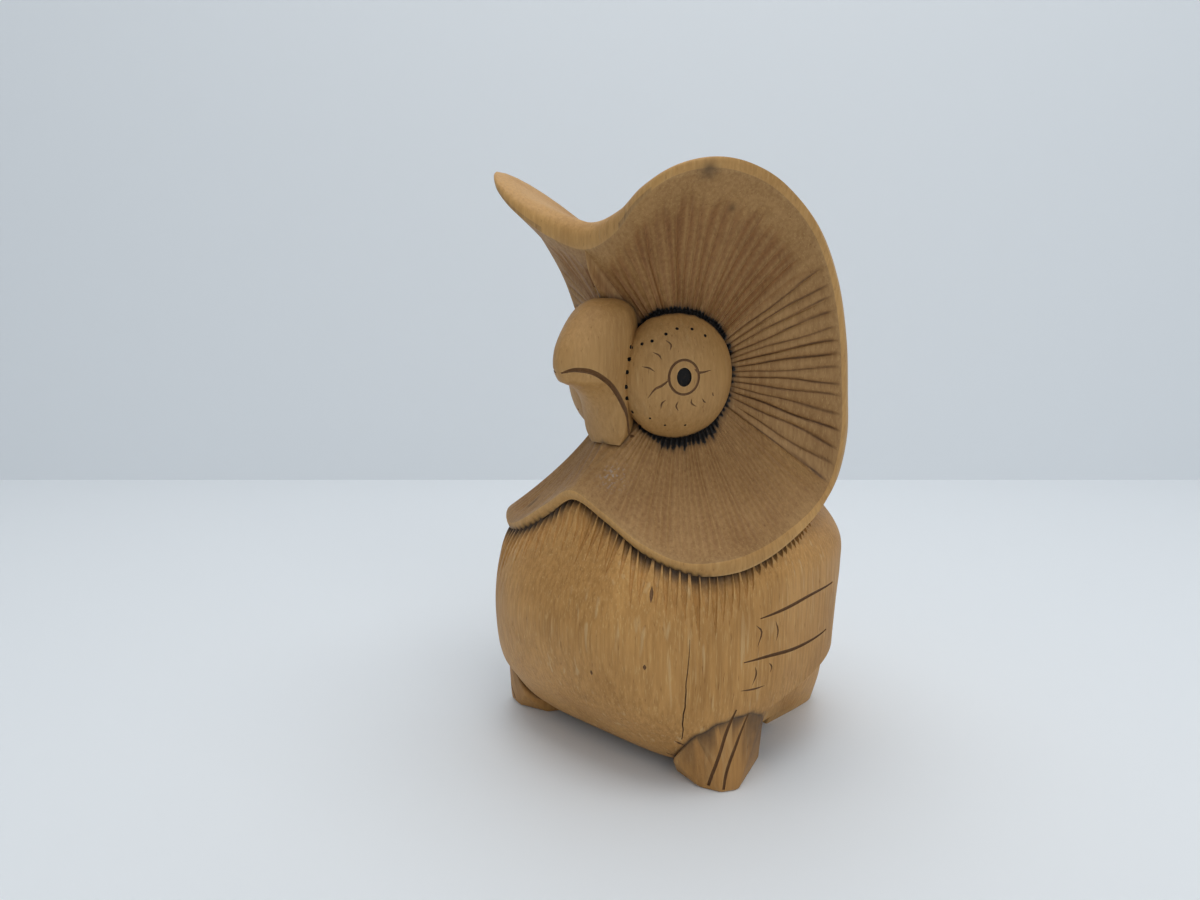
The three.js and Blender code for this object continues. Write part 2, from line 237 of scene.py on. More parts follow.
@dataclass
class Flutes:
    """Gouge cuts that spread over a cheek dish from the eye.

    Angles are about the dish's axis, in degrees, and they fall from the saddle between
    the ear tufts round the dish to the saddle again.
    """

    rim_turn: tuple[float, float] = (131.5, -138.0)
    rim_flutes: int = 74
    ridge_flutes: int = 20
    # The space between flutes at some angles.
    pitches: tuple[tuple[float, float], ...] = (
        (140, 3.6), (110, 3.9), (80, 4.1), (54, 4.2), (43, 5.4), (-28, 6.2),
        (-40, 3.2), (-55, 2.6), (-138, 2.7), (-180, 4.6), (-230, 5.0),
    )
    columns: tuple[float, ...] = (0.0, 0.07, 0.18, 0.34, 0.5, 0.66, 0.82, 0.93)
    round_depth: float = 0.42
    line_depth: float = 0.5
    line_width: float = 0.22
    fine_depth: float = 0.2
    ridge_depth: float = 0.3
    line_turns: tuple[float, float] = (44.0, -37.0)
    # The angle over which one kind of cut gives way to the next.
    blend: float = 3.0
    # How far out each kind ends: round, lines, fine and on the ridge.
    reaches: tuple[float, ...] = (0.9, 1.0, 0.99, 0.97)
    unevenness: float = 0.035
    rim_margin: tuple[float, float] = (0.965, 1.0)
    sway: float = 0.16
    seed: int = 11

    def phases(self, turn: np.ndarray) -> np.ndarray:
        """Counts the flutes between the saddle and each angle.

        Args:
            turn: angles about the dish's axis.

        Returns:
            The count, whole at the middle of each crest or line.
        """
        start, middle = self.rim_turn
        fine = np.linspace(start, start - 360, 2881)
        known, pitch = np.array(self.pitches)[::-1].T
        step = np.abs(np.diff(fine, prepend=start)) / np.interp(fine, known, pitch)
        count = np.cumsum(step)
        at_middle = np.interp(-middle, -fine, count)
        rim = count / at_middle * self.rim_flutes
        ridge_share = (count - at_middle) / (count[-1] - at_middle)
        total = np.where(count <= at_middle, rim, self.rim_flutes + ridge_share * self.ridge_flutes)
        return np.interp(-np.asarray(turn), -fine, total)

    def turns(self) -> tuple[np.ndarray, int]:
        """Places the mesh columns, closest where the cuts are sharpest.

        Returns:
            The columns' angles, and how many of them belong to the hood's rim.
        """
        start = self.rim_turn[0]
        fine = np.linspace(start, start - 360, 2881)
        whole = self.rim_flutes + self.ridge_flutes
        wanted = (np.arange(whole)[:, None] + np.array(self.columns)).ravel()
        wanted = np.append(wanted, whole)
        rim_columns = self.rim_flutes * len(self.columns) + 1
        return np.interp(wanted, self.phases(fine), fine), rim_columns

    def cuts(
        self, turn: np.ndarray, share: np.ndarray, side: int
    ) -> tuple[np.ndarray, np.ndarray]:
        """How deep the wood is cut over the dish.

        Args:
            turn: angles about the dish's axis.
            share: how far out each point is, from 0 at the axis to 1 at the rim.
            side: 0 for the owl's left cheek and 1 for the other.

        Returns:
            Depths in millimetres, and how much of a thin slit is at each place.
        """
        whole = self.rim_flutes + self.ridge_flutes
        rng = np.random.default_rng(self.seed + side)
        strength = rng.uniform(0.6, 1.15, whole + 1)
        begin = rng.uniform(0.24, 0.34, whole + 1)
        end = rng.uniform(-self.unevenness, self.unevenness, whole + 1)
        waves = 0.5 * np.sin(5.0 * share + turn / 3.0) + 0.5 * np.sin(11.0 * share - turn / 2.0)
        phase = self.phases(turn) + self.sway * waves * smoothstep(0.3, 0.6, share)
        number = np.clip(np.round(phase).astype(int), 0, whole)
        away = np.clip(np.abs(2 * (phase - number)), 0, 1)
        first, last = self.line_turns
        rim = smoothstep(-self.blend, 0, turn - self.rim_turn[1])
        lines = smoothstep(-self.blend, 0, first - turn) * smoothstep(-self.blend, 0, turn - last)
        fine = np.clip(smoothstep(0, self.blend, last - turn), 0, 1) * rim
        ridge = 1 - rim
        tops = np.clip(1 - lines - fine - ridge, 0, 1)
        # A round flute is deep all over its width and leaves a thin crest; a line is a slit
        # that rises to a swollen petal on both sides.
        round_valley = 1 - (1 - away) ** 2.4
        slit = np.clip(1 - away / self.line_width, 0, 1)
        petal = (1 - away) ** 1.7
        hollow = 1 - (1 - away) ** 1.6
        kinds = (tops, lines, fine, ridge)
        depth = (
            tops * self.round_depth * round_valley
            + lines * self.line_depth * (0.5 * slit + 0.5 * petal)
            + fine * self.fine_depth * hollow
            + ridge * self.ridge_depth * hollow
        )
        reach = sum(kind * far for kind, far in zip(kinds, self.reaches))
        reach = reach + end[number] * (tops + ridge)
        fade = smoothstep(0, 0.08, share - begin[number])
        fade = fade * (1 - smoothstep(-0.07, 0.01, share - reach))
        fade = fade * (1 - smoothstep(*self.rim_margin, share))
        full = strength[number] * fade
        return depth * full, lines * slit * full


@dataclass
class Dish:
    """A cheek: it sinks from the hood's rim to a hollow behind the eye."""

    centre: Point = (9.3, -9.0, 78.5)
    yaw: float = 50.0
    curve: float = 1.7
    rings: int = 26
    ring_spread: float = 0.75
    ridge: tuple[Point, ...] = (
        (0, -32.6, 56.7), (0, -27, 61.5), (0, -22, 67), (0, -18, 73), (0, -17, 79),
        (0, -19, 87), (0, -24, 94), (0, -27.5, 99), (0, -28.7, 103.4),
    )

    def axes(self) -> tuple[np.ndarray, np.ndarray, np.ndarray]:
        """The directions across the dish, up, and out along its axis."""
        turn = math.radians(self.yaw)
        across = np.array([math.cos(turn), math.sin(turn), 0])
        outward = np.array([math.sin(turn), -math.cos(turn), 0])
        return across, np.array([0, 0, 1.0]), outward

    def seen(self, points: np.ndarray) -> np.ndarray:
        """Gives points by their distance across, up and out from the dish's centre."""
        return (np.asarray(points, float) - self.centre) @ np.stack(self.axes(), axis=1)

    def placed(self, seen: np.ndarray) -> np.ndarray:
        """Gives points that were seen from the dish in the owl's frame again."""
        return seen @ np.stack(self.axes()) + self.centre

    def turn_of(self, seen: np.ndarray, start: float) -> np.ndarray:
        """The angle of each seen point, in the turn of 360 degrees below a start."""
        angle = np.degrees(np.arctan2(seen[..., 1], seen[..., 0]))
        return start - (start - angle) % 360


@dataclass
class Hood:
    """The wide head: two dishes, the thick edge that frames them, and the back."""

    stations: tuple[Station, ...] = tuple(
        Station(*row)
        for row in (
            ((0, -26.5, 108.6), (0, -2.2, -5.2), (0, 36, 1)),
            ((9, -27.5, 110.9), (-0.3, -2.2, -4.9), (0, 36, 2)),
            ((17, -30, 114.5), (-0.6, -1.8, -3.6), (-2, 38, 3)),
            ((23.5, -29.5, 117.2), (-0.8, -1.2, -2.4), (-4, 38, 3)),
            ((28.6, -25.5, 118.4), (-0.9, -1, -1.9), (-6, 38, 1)),
            ((32.3, -20, 117.4), (-0.9, -0.9, -1.6), (-6, 36, -2)),
            ((35, -13.4, 114.1), (-0.8, -0.9, -1.2), (-6, 34, -5)),
            ((36.6, -5.3, 107.5), (-0.6, -1, -0.8), (-5, 30, -6)),
            ((36.8, 1.7, 98.3), (-0.5, -1, -0.4), (-5, 27, -6)),
            ((36.3, 6.7, 87), (-0.4, -1, -0.2), (-4, 24, -6)),
            ((35, 10.5, 76), (-0.4, -1, 0), (-3, 22, -4)),
            ((33.5, 13.6, 66), (-0.4, -1, 0.2), (-2, 22, -2)),
            ((31.5, 14, 56.5), (-0.4, -1, 0.5), (-2, 22, 0)),
            ((33, 6.5, 52), (-0.5, -1.2, 0.9), (-8, 20, 2)),
            ((33.5, -2, 48.5), (-0.6, -1.4, 1.5), (-10, 22, 4)),
            ((33.5, -13, 45.5), (-0.6, -1.5, 2.2), (-12, 22, 4)),
            ((31.2, -21.3, 43.8), (-0.5, -1.5, 2.7), (-12, 26, 4)),
            ((24.9, -26.6, 43.4), (-0.3, -1.4, 2.7), (-10, 28, 4)),
            ((17, -30.2, 46.6), (0, -1.2, 2.5), (-6, 30, 4)),
            ((8, -31.2, 51.4), (0, -1, 2.2), (0, 30, 4)),
            ((0, -31.8, 54.7), (0, -0.8, 2), (0, 30, 4)),
        )
    )
    # The right side was cut by eye: a taller, sharper tuft and a bib that hangs lower.
    right_shifts: tuple[tuple[int, Point], ...] = (
        (3, (0, -0.4, 0.8)),
        (4, (0.2, -0.5, 1.9)),
        (5, (0, -0.2, 1)),
        (17, (0, 0, -0.8)),
        (18, (0, -0.3, -1.8)),
        (19, (0, -0.1, -1.1)),
    )
    lip_swell: float = 0.2
    lip_rows: int = 6
    back_pole: Point = (0, 34.5, 61)
    back_rows: int = 20
    dish: Dish = field(default_factory=Dish)
    flutes: Flutes = field(default_factory=Flutes)

    def lines(self, side: int) -> tuple[np.ndarray, np.ndarray, np.ndarray]:
        """The hood's edge, lip and back directions at its stations.

        Args:
            side: 0 for the owl's left and 1 for its right, drawn on the left.

        Returns:
            Three arrays with a row for each station.
        """
        at = np.array([station.at for station in self.stations], float)
        if side:
            for number, shift in self.right_shifts:
                at[number] += shift
        lip = np.array([station.lip for station in self.stations], float)
        back = np.array([station.back for station in self.stations], float)
        return at, lip, back

    def rim(self, side: int) -> tuple[np.ndarray, np.ndarray]:
        """The dish's border at each column: the rim of the hood and then the ridge.

        Args:
            side: 0 for the owl's left cheek and 1 for the other.

        Returns:
            The border as the dish sees it, and how far along the hood each rim column is.
        """
        turns, rim_columns = self.flutes.turns()
        at, lip, _ = self.lines(side)
        walk = np.linspace(0, 1, 1601)
        border = self.dish.seen(half_spline(at + lip, walk))
        ridge = self.dish.seen(spline(np.array(self.dish.ridge), walk))

        def pace(line: np.ndarray) -> np.ndarray:
            angle = np.unwrap(np.arctan2(line[:, 1], line[:, 0]))
            return (angle - angle[0]) / (angle[-1] - angle[0])

        rim_share = (turns[:rim_columns] - turns[0]) / (turns[rim_columns - 1] - turns[0])
        ridge_turns = turns[rim_columns - 1 :]
        ridge_share = (ridge_turns - ridge_turns[0]) / (ridge_turns[-1] - ridge_turns[0])
        hood_share = np.interp(rim_share, pace(border), walk)
        rim_points = self.dish.seen(half_spline(at + lip, hood_share))
        ridge_points = self.dish.seen(
            spline(np.array(self.dish.ridge), np.interp(ridge_share, pace(ridge), walk))
        )
        return np.vstack([rim_points, ridge_points[1:]]), hood_share

    @cached_property
    def borders(self) -> tuple[np.ndarray, np.ndarray]:
        """The borders of the left and the right dish."""
        return self.rim(0)[0], self.rim(1)[0]

    def dish_skin(self, side: int) -> np.ndarray:
        """The fluted cheek as rings of points, from the middle out."""
        border = self.borders[side]
        turns, _ = self.flutes.turns()
        share = (np.arange(self.dish.rings + 1) / self.dish.rings) ** self.dish.ring_spread
        seen = np.empty((len(share), len(turns), 3))
        seen[..., 0] = share[:, None] * border[:, 0]
        seen[..., 1] = share[:, None] * border[:, 1]
        seen[..., 2] = share[:, None] ** self.dish.curve * border[:, 2]
        points = self.dish.placed(seen)
        across = np.gradient(points, axis=1)
        outward = np.gradient(points, axis=0)
        normal = unit(np.cross(across, outward))
        facing = np.sign((normal @ self.dish.axes()[2]))[..., None]
        depth, _ = self.flutes.cuts(turns[None, :], share[:, None], side)
        points = points - normal * facing * depth[..., None]
        points[:, -1] = points[:, 0]
        return points

    def half(self, side: int) -> Shell:
        """Half of the head's skin, drawn on the owl's left."""
        at, lip, back = self.lines(side)
        dish = self.dish_skin(side)
        _, along = self.rim(side)
        edge = half_spline(at, along)
        lips = half_spline(lip, along)
        across = np.linspace(0, 1, self.lip_rows + 1)[:, None, None]
        swell = self.lip_swell * np.linalg.norm(lips, axis=1)[:, None] * np.sin(np.pi * across)
        band = edge + lips * (1 - across) + swell * np.array([0, -1, 0.6])
        band[0] = dish[-1, : len(along)]
        skin = grid(dish).joined(grid(band))
        return skin.joined(self.back_skin(edge, half_spline(back, along)))

    def back_skin(self, edge: np.ndarray, away: np.ndarray) -> Shell:
        """The outside of the head, with half as many columns as the edge that it leaves.

        Args:
            edge: the hood's edge.
            away: how the outside leaves the edge at the same places.

        Returns:
            A skin from the edge to the pole at the back.
        """
        pole = np.array(self.back_pole, float)
        coarse, leave = edge[::2], away[::2]
        arrive = (pole - coarse) * np.array([1, 0, 1])
        v = np.linspace(0, 1, self.back_rows + 1)[1:, None, None]
        rows = (
            coarse * (2 * v**3 - 3 * v**2 + 1)
            + leave * (v**3 - 2 * v**2 + v)
            + pole * (3 * v**2 - 2 * v**3)
            + arrive * (v**3 - v**2)
        )
        skin = grid(rows)
        start = len(edge)
        faces = []
        for j in range(len(coarse) - 1):
            fine, first = 2 * j, start + j
            faces.append((fine, fine + 1, first))
            faces.append((fine + 1, first + 1, first))
            faces.append((fine + 1, fine + 2, first + 1))
        faces += [tuple(i + start for i in face) for face in skin.faces]
        return Shell(np.vstack([edge, skin.points]), faces)

    def made(self) -> bpy.types.Object:
        """Makes the whole head, with the dishes and the rest in their own finishes."""
        whole = self.half(0).joined(self.half(1).mirrored())
        piece = whole.made("head", Finish.HOOD)
        piece.data.materials.append(finish_material(Finish.DISH))
        self.paint_dishes(piece.data)
        return piece

    def paint_dishes(self, mesh: bpy.types.Mesh) -> None:
        """Gives the faces inside the rims the dishes' finish.

        Args:
            mesh: the head's mesh.
        """
        for polygon in mesh.polygons:
            centre = np.array(polygon.center) / METRES - np.array([0, AXIS_Y, 0])
            side = int(centre[0] < 0)
            centre[0] = abs(centre[0])
            normal = np.array(polygon.normal)
            normal[0] *= -1 if side else 1
            seen = self.dish.seen(centre)
            if normal @ self.dish.axes()[2] > 0.05 and self.dish_share(seen[None], side)[0] < 1.0:
                polygon.material_index = 1

    def dish_share(self, seen: np.ndarray, side: int) -> np.ndarray:
        """How far out points are in a dish, from 0 at its axis to 1 at its rim."""
        border = self.borders[side]
        start = self.flutes.rim_turn[0]
        turns, _ = self.flutes.turns()
        reach = np.linalg.norm(border[:, :2], axis=1)
        turn = self.dish.turn_of(seen, start)
        return np.linalg.norm(seen[..., :2], axis=-1) / np.interp(-turn, -turns, reach)


@dataclass
class Section:
    """A level section of a stack, with a front, a back and rounded corners."""

    z: float
    side: float
    front: float
    back: float
    square: float


@dataclass
class Stack:
    """A solid that is drawn through level sections."""

    sections: tuple[Section, ...]
    middle: float
    sides: int
    rows: int
    narrowing: float = 0.0

    def table(self) -> np.ndarray:
        """The sections as rows of numbers."""
        return np.array([[s.z, s.side, s.front, s.back, s.square] for s in self.sections], float)

    def skin(self, share: np.ndarray) -> np.ndarray:
        """Rings of points at some shares of the height."""
        z, side, front, back, square = spline(self.table(), share).T[:, :, None]
        around = np.linspace(0, 2 * np.pi, self.sides + 1)
        cos, sin = np.cos(around), np.sin(around)
        reach = np.where(sin < 0, self.middle - front, back - self.middle)
        half = side * (1 - self.narrowing * np.maximum(0, sin))
        x = np.sign(cos) * np.abs(cos) ** (2 / square) * half
        y = self.middle + np.sign(sin) * np.abs(sin) ** (2 / square) * reach
        points = np.stack([x, y, np.broadcast_to(z, x.shape)], axis=-1)
        points[:, -1] = points[:, 0]
        return points

    def shell(self) -> Shell:
        """The stack's skin, closed at both ends."""
        rings = self.skin(np.linspace(0, 1, self.rows + 1))
        foot = np.broadcast_to([0, self.middle, rings[0, 0, 2]], (1, self.sides + 1, 3))
        head = np.broadcast_to([0, self.middle, rings[-1, 0, 2]], (1, self.sides + 1, 3))
        return grid(np.concatenate([foot, rings, head]))


@dataclass
class Body:
    """The belly, flanks and back, up into the head."""

    stack: Stack = field(
        default_factory=lambda: Stack(
            sections=tuple(
                Section(*row)
                for row in (
                    (3, 26.5, -24, 22, 4.5),
                    (6, 29.5, -27.5, 25, 3.9),
                    (10, 32, -31, 27.5, 3.4),
                    (15, 34, -35, 27, 3),
                    (22, 35.2, -38, 28.5, 2.6),
                    (30, 35.4, -39.5, 32, 2.4),
                    (37, 35.4, -38.4, 34.5, 2.35),
                    (43, 34.6, -36, 36, 2.3),
                    (49, 30.5, -33.2, 35.4, 2),
                    (55, 22, -29.8, 33, 1.6),
                    (62, 12, -14, 27, 1.8),
                )
            ),
            middle=-3.0,
            sides=200,
            rows=96,
        )
    )

    def made(self) -> bpy.types.Object:
        """Makes the body."""
        return self.stack.shell().made("body", Finish.BODY)


@dataclass
class Beak:
    """A hooked beak whose upper half is as broad as a nose, over a narrow lower half."""

    stack: Stack = field(
        default_factory=lambda: Stack(
            sections=tuple(
                Section(z, half, front, -12, 1.85)
                for z, half, front in (
                    (65, 4, -23.4),
                    (67.5, 5.4, -24.4),
                    (70.5, 5.8, -25.5),
                    (73.4, 6, -26.9),
                    (75.6, 6.1, -28.9),
                    (76.9, 6.2, -30.9),
                    (77.8, 6.3, -33.4),
                    (78.6, 6.4, -35),
                    (81, 6.6, -36.2),
                    (84.2, 6.8, -35.8),
                    (87, 6.9, -34.2),
                    (89.7, 6.6, -32),
                    (91.8, 5.8, -29.9),
                    (93.2, 4.3, -27.9),
                    (94, 2.6, -25.8),
                    (94.2, 1, -24),
                )
            ),
            middle=-22.9,
            sides=72,
            rows=60,
            narrowing=0.6,
        )
    )

    def made(self) -> bpy.types.Object:
        """Makes the beak."""
        return self.stack.shell().made("beak", Finish.FACE)


@dataclass
class Eye:
    """A bulge on the cheek. Its ring, pupil and lids are cut afterwards."""

    centre: Point = (9.9, -12.6, 78.8)
    radii: Point = (11.8, 7.6, 13.0)
    yaw: float = 62.0
    sides: int = 72
    rows: int = 44

    def axes(self) -> np.ndarray:
        """The bulge's own directions, a row for each radius."""
        turn = math.radians(self.yaw)
        cos, sin = math.cos(turn), math.sin(turn)
        return np.array([[cos, sin, 0], [-sin, cos, 0], [0, 0, 1.0]])

    def fullness(self, points: np.ndarray) -> np.ndarray:
        """Less than 1 inside the bulge and more outside."""
        seen = (points - np.array(self.centre)) @ self.axes().T / np.array(self.radii)
        return (seen**2).sum(axis=-1)

    def outward(self, point: np.ndarray) -> np.ndarray:
        """The way out of the bulge at a point of its skin."""
        seen = (point - np.array(self.centre)) @ self.axes().T / np.array(self.radii) ** 2
        return unit(seen @ self.axes())

    def shell(self) -> Shell:
        """The bulge on the owl's left."""
        around = np.linspace(0, 2 * np.pi, self.sides + 1)
        down = np.linspace(0, np.pi, self.rows + 1)[:, None]
        ball = np.stack(
            [np.sin(down) * np.cos(around), np.sin(down) * np.sin(around),
             np.cos(down) * np.ones_like(around)],
            axis=-1,
        )
        ball[:, -1] = ball[:, 0]
        ball[0], ball[-1] = (0, 0, 1), (0, 0, -1)
        return grid(ball * self.radii @ self.axes() + self.centre)


def hull(points: list[Point], name: str, finish: Finish, bevel: float = 0.0) -> bpy.types.Object:
    """Makes the solid with these corners.

    Args:
        points: its corners, in millimetres.
        name: the new object's name.
        finish: the finish of all its faces.
        bevel: how far its edges are rounded, in millimetres.

    Returns:
        The object, in metres.
    """
    mesh = bpy.data.meshes.new(name)
    edit = bmesh.new()
    for x, y, z in points:
        edit.verts.new(Vector((x, y + AXIS_Y, z)) * METRES)
    result = bmesh.ops.convex_hull(edit, input=edit.verts)
    spare = {item for item in result["geom_interior"] if isinstance(item, bmesh.types.BMVert)}
    bmesh.ops.delete(edit, geom=list(spare), context="VERTS")
    flat = math.radians(1)
    bmesh.ops.dissolve_limit(edit, angle_limit=flat, verts=edit.verts, edges=edit.edges)
    if bevel:
        bmesh.ops.bevel(
            edit, geom=list(edit.edges), offset=bevel * METRES, segments=3, profile=0.5,
            affect="EDGES", clamp_overlap=True,
        )
        bmesh.ops.remove_doubles(edit, verts=edit.verts, dist=MERGE_DISTANCE)
    bmesh.ops.triangulate(edit, faces=edit.faces)
    bmesh.ops.recalc_face_normals(edit, faces=edit.faces)
    edit.to_mesh(mesh)
    edit.free()
    mesh.materials.append(finish_material(finish))
    piece = bpy.data.objects.new(name, mesh)
    bpy.context.scene.collection.objects.link(piece)
    return piece


def at_height(outline: tuple[tuple[float, float], ...], z: float) -> list[Point]:
    """Lifts a flat outline to a height."""
    return [(x, y, z) for x, y in outline]


def both_sides(points: list[Point]) -> list[Point]:
    """Adds each point's mirror image."""
    return points + [(-x, y, z) for x, y, z in points]


def flipped(points: list[Point], side: int) -> list[Point]:
    """The points on the owl's left for side 0, or mirrored for side 1."""
    return [(-x if side else x, y, z) for x, y, z in points]


@dataclass
class Base:
    """What the owl stands on: two feet and a broad tail, with coves between them."""

    foot_sole: tuple[tuple[float, float], ...] = (
        (15, -16), (19, -22), (26.7, -24), (30.9, -22.6),
        (32.6, -19.6), (30.5, -14), (28, -6), (14, -6),
    )
    foot_instep: tuple[Point, ...] = (
        (21.7, -26.5, 5), (26.9, -26.6, 12), (30.1, -24.3, 16), (32, -20.7, 16.7),
        (33.2, -16.5, 16.1), (33.3, -12.2, 15.2), (22, -8, 14),
    )
    tail_sole: tuple[tuple[float, float], ...] = (
        (20.5, 8), (20.8, 20), (20, 27), (15.2, 32), (8, 34.2),
    )
    tail_waist: tuple[tuple[float, float], ...] = (
        (24, 8), (24.5, 18), (22.8, 26), (16.5, 32.5), (8.5, 35.5),
    )
    tail_waist_z: float = 9
    tail_top: tuple[tuple[float, float], ...] = (
        (27, 6), (26.6, 16), (24.5, 23.5), (17.5, 28.5), (8.5, 31),
    )
    tail_top_z: float = 22
    tail_steps: int = 9
    cove_y: tuple[float, float] = (-12, 45)
    cove_floor_z: float = -1
    cove_roof_z: float = 14.5
    cove_roof_slope: float = 0.22
    cove_front_x: tuple[float, float] = (22, 29.5)
    cove_back_x: tuple[float, float] = (20, 28.5)
    cove_outer_x: float = 50
    foot_bevel: float = 0.5

    def foot(self, side: int) -> bpy.types.Object:
        """Makes a foot."""
        corners = at_height(self.foot_sole, 0) + list(self.foot_instep)
        return hull(flipped(corners, side), f"foot_{side}", Finish.FOOT, self.foot_bevel)

    def tail(self) -> bpy.types.Object:
        """Makes the tail, rounded between the corners of its three outlines."""
        corners = at_height(self.tail_sole, 0)
        levels = np.array([0, self.tail_waist_z, self.tail_top_z], float)
        outlines = np.array([self.tail_sole, self.tail_waist, self.tail_top], float)
        for share in np.linspace(0, 1, self.tail_steps):
            outline = spline(outlines.reshape(3, -1), np.array(share)).reshape(-1, 2)
            around = spline(outline, np.linspace(0, 1, 3 * self.tail_steps))
            z = float(spline(levels[:, None], np.array(share))[0])
            corners += at_height(around.tolist(), z)
        return hull(both_sides(corners), "tail", Finish.BODY)

    def cove(self, side: int) -> bpy.types.Object:
        """Makes the block that is cut from under a wing."""
        front, rear = self.cove_y
        rear_roof = self.cove_roof_z + self.cove_roof_slope * (rear - front)
        corners = []
        for y, roof, (low_x, high_x) in (
            (front, self.cove_roof_z, self.cove_front_x),
            (rear, rear_roof, self.cove_back_x),
        ):
            corners += [(low_x, y, self.cove_floor_z), (high_x, y, roof)]
            corners += [(self.cove_outer_x, y, self.cove_floor_z), (self.cove_outer_x, y, roof)]
        return hull(flipped(corners, side), f"cove_{side}", Finish.BODY)


class Carver:
    """Joins the rough solids and cuts the fine work into them."""

    def __init__(self, owl: bpy.types.Object) -> None:
        """Starts from one solid.

        Args:
            owl: the solid that the others are joined to.
        """
        self.owl = owl
        self.tree = None

    def apply(self, tools: list[bpy.types.Object], operation: str) -> None:
        """Joins or cuts with some solids, in order, and deletes them.

        Args:
            tools: the solids.
            operation: UNION or DIFFERENCE.
        """
        for tool in tools:
            step = self.owl.modifiers.new(tool.name, "BOOLEAN")
            step.operation = operation
            step.object = tool
            step.solver = "MANIFOLD"
            step.material_mode = "TRANSFER"
        evaluated = self.owl.evaluated_get(bpy.context.evaluated_depsgraph_get())
        mesh = bpy.data.meshes.new_from_object(evaluated)
        self.owl.modifiers.clear()
        spent = self.owl.data
        self.owl.data = mesh
        bpy.data.meshes.remove(spent)
        for tool in tools:
            waste = tool.data
            bpy.data.objects.remove(tool)
            bpy.data.meshes.remove(waste)
        log.info("%s: %d faces after %s", self.owl.name, len(mesh.polygons), operation.lower())

    def clear_crumbs(self) -> None:
        """Drops the slivers that the cuts have left loose."""
        edit = bmesh.new()
        edit.from_mesh(self.owl.data)
        unseen = set(edit.verts)
        pieces = []
        while unseen:
            piece = [unseen.pop()]
            for vertex in piece:
                near = {edge.other_vert(vertex) for edge in vertex.link_edges} & unseen
                unseen -= near
                piece += near
            pieces.append(piece)
        pieces.sort(key=len)
        crumbs = [vertex for piece in pieces[:-1] for vertex in piece]
        bmesh.ops.delete(edit, geom=crumbs, context="VERTS")
        edit.to_mesh(self.owl.data)
        edit.free()
        log.info("%s: %d crumbs cleared", self.owl.name, len(pieces) - 1)

    def keep_in_box(self) -> None:
        """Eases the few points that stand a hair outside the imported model's box."""
        mesh = self.owl.data
        flat = np.empty(len(mesh.vertices) * 3, np.float32)
        mesh.vertices.foreach_get("co", flat)
        low, high = (np.array(corner) for corner in CAD_BOX)
        eased = np.clip(flat.reshape(-1, 3), low + BOX_SLACK, high - BOX_SLACK)
        mesh.vertices.foreach_set("co", eased.ravel().astype(np.float32))
        mesh.update()

    def survey(self) -> None:
        """Keeps the surface as it is now, for lines to be laid on."""
        mesh = self.owl.data
        corners = [tuple(v.co) for v in mesh.vertices]
        self.tree = BVHTree.FromPolygons(corners, [tuple(p.vertices) for p in mesh.polygons])

    def laid(self, points: np.ndarray) -> tuple[np.ndarray, np.ndarray]:
        """Moves points onto the surface.

        Args:
            points: places near the surface, in millimetres.

        Returns:
            The places on the surface, and the way out of the wood at each.
        """
        places, ways = [], []
        for point in points:
            near = Vector((point[0], point[1] + AXIS_Y, point[2])) * METRES
            place, normal, _, _ = self.tree.find_nearest(near)
            places.append(np.array(place) / METRES - np.array([0, AXIS_Y, 0]))
            ways.append(np.array(normal))
        return np.array(places), np.array(ways)


@dataclass
class Stroke:
    """One cut of a knife, gouge or hot iron along the surface.

    Widths and depths are at the middle of the cut; the ends taper.
    """

    line: np.ndarray
    width: float
    depth: float
    start: float = 0.15
    end: float = 0.15
    peak: float = 0.5
    sides: int = 5
    steps: int = 8
    lift: float = 0.35
    # How far the deepest line stands to one side, as a share of half the width.
    skew: float = 0.0
    finish: Finish = Finish.CUT

    def profile(self, share: np.ndarray) -> np.ndarray:
        """How full the cut is along its length."""
        rise = self.start + (1 - self.start) * np.sin(
            0.5 * np.pi * np.clip(share / max(self.peak, 1e-3), 0, 1)
        )
        fall = self.end + (1 - self.end) * np.cos(
            0.5 * np.pi * np.clip((share - self.peak) / max(1 - self.peak, 1e-3), 0, 1)
        )
        return np.minimum(rise, fall)

    def shell(self, carver: Carver) -> Shell:
        """The tool's path as a closed solid that stands a little proud of the surface.

        Args:
            carver: whose surface the cut is laid on.

        Returns:
            The solid to take away.
        """
        share = np.linspace(0, 1, self.steps + 1)
        line = spline(np.asarray(self.line, float), share)
        places, ways = carver.laid(line)
        ways = unit(ways + unit(ways.mean(axis=0, keepdims=True)))
        along = unit(np.gradient(places, axis=0))
        across = unit(np.cross(along, ways))
        full = self.profile(share)[:, None, None]
        around = np.linspace(0, np.pi, self.sides)
        bowl = np.stack([np.cos(around) + self.skew * np.sin(around), -np.sin(around)], axis=-1)
        flare = 1 + self.lift / max(self.depth, 0.2)
        rim = np.array([[flare, 1.0], [-flare, 1.0]])
        wide = bowl[:, 0] * self.width / 2
        deep = bowl[:, 1] * self.depth
        rim_wide = rim[:, 0] * self.width / 2
        section_x = np.concatenate([wide, rim_wide[::-1]]) * full[..., 0]
        section_y = np.concatenate([deep, np.zeros(2)]) * full[..., 0]
        section_y[:, -2:] = self.lift
        points = (
            places[:, None]
            + across[:, None] * section_x[..., None]
            + ways[:, None] * section_y[..., None]
        )
        ring = points.shape[1]
        closed = np.concatenate([points, points[:, :1]], axis=1)
        skin = grid(closed)
        last = self.steps * (ring + 1)
        caps = [tuple(range(ring)), tuple(range(last, last + ring))]
        return Shell(skin.points, skin.faces + caps)


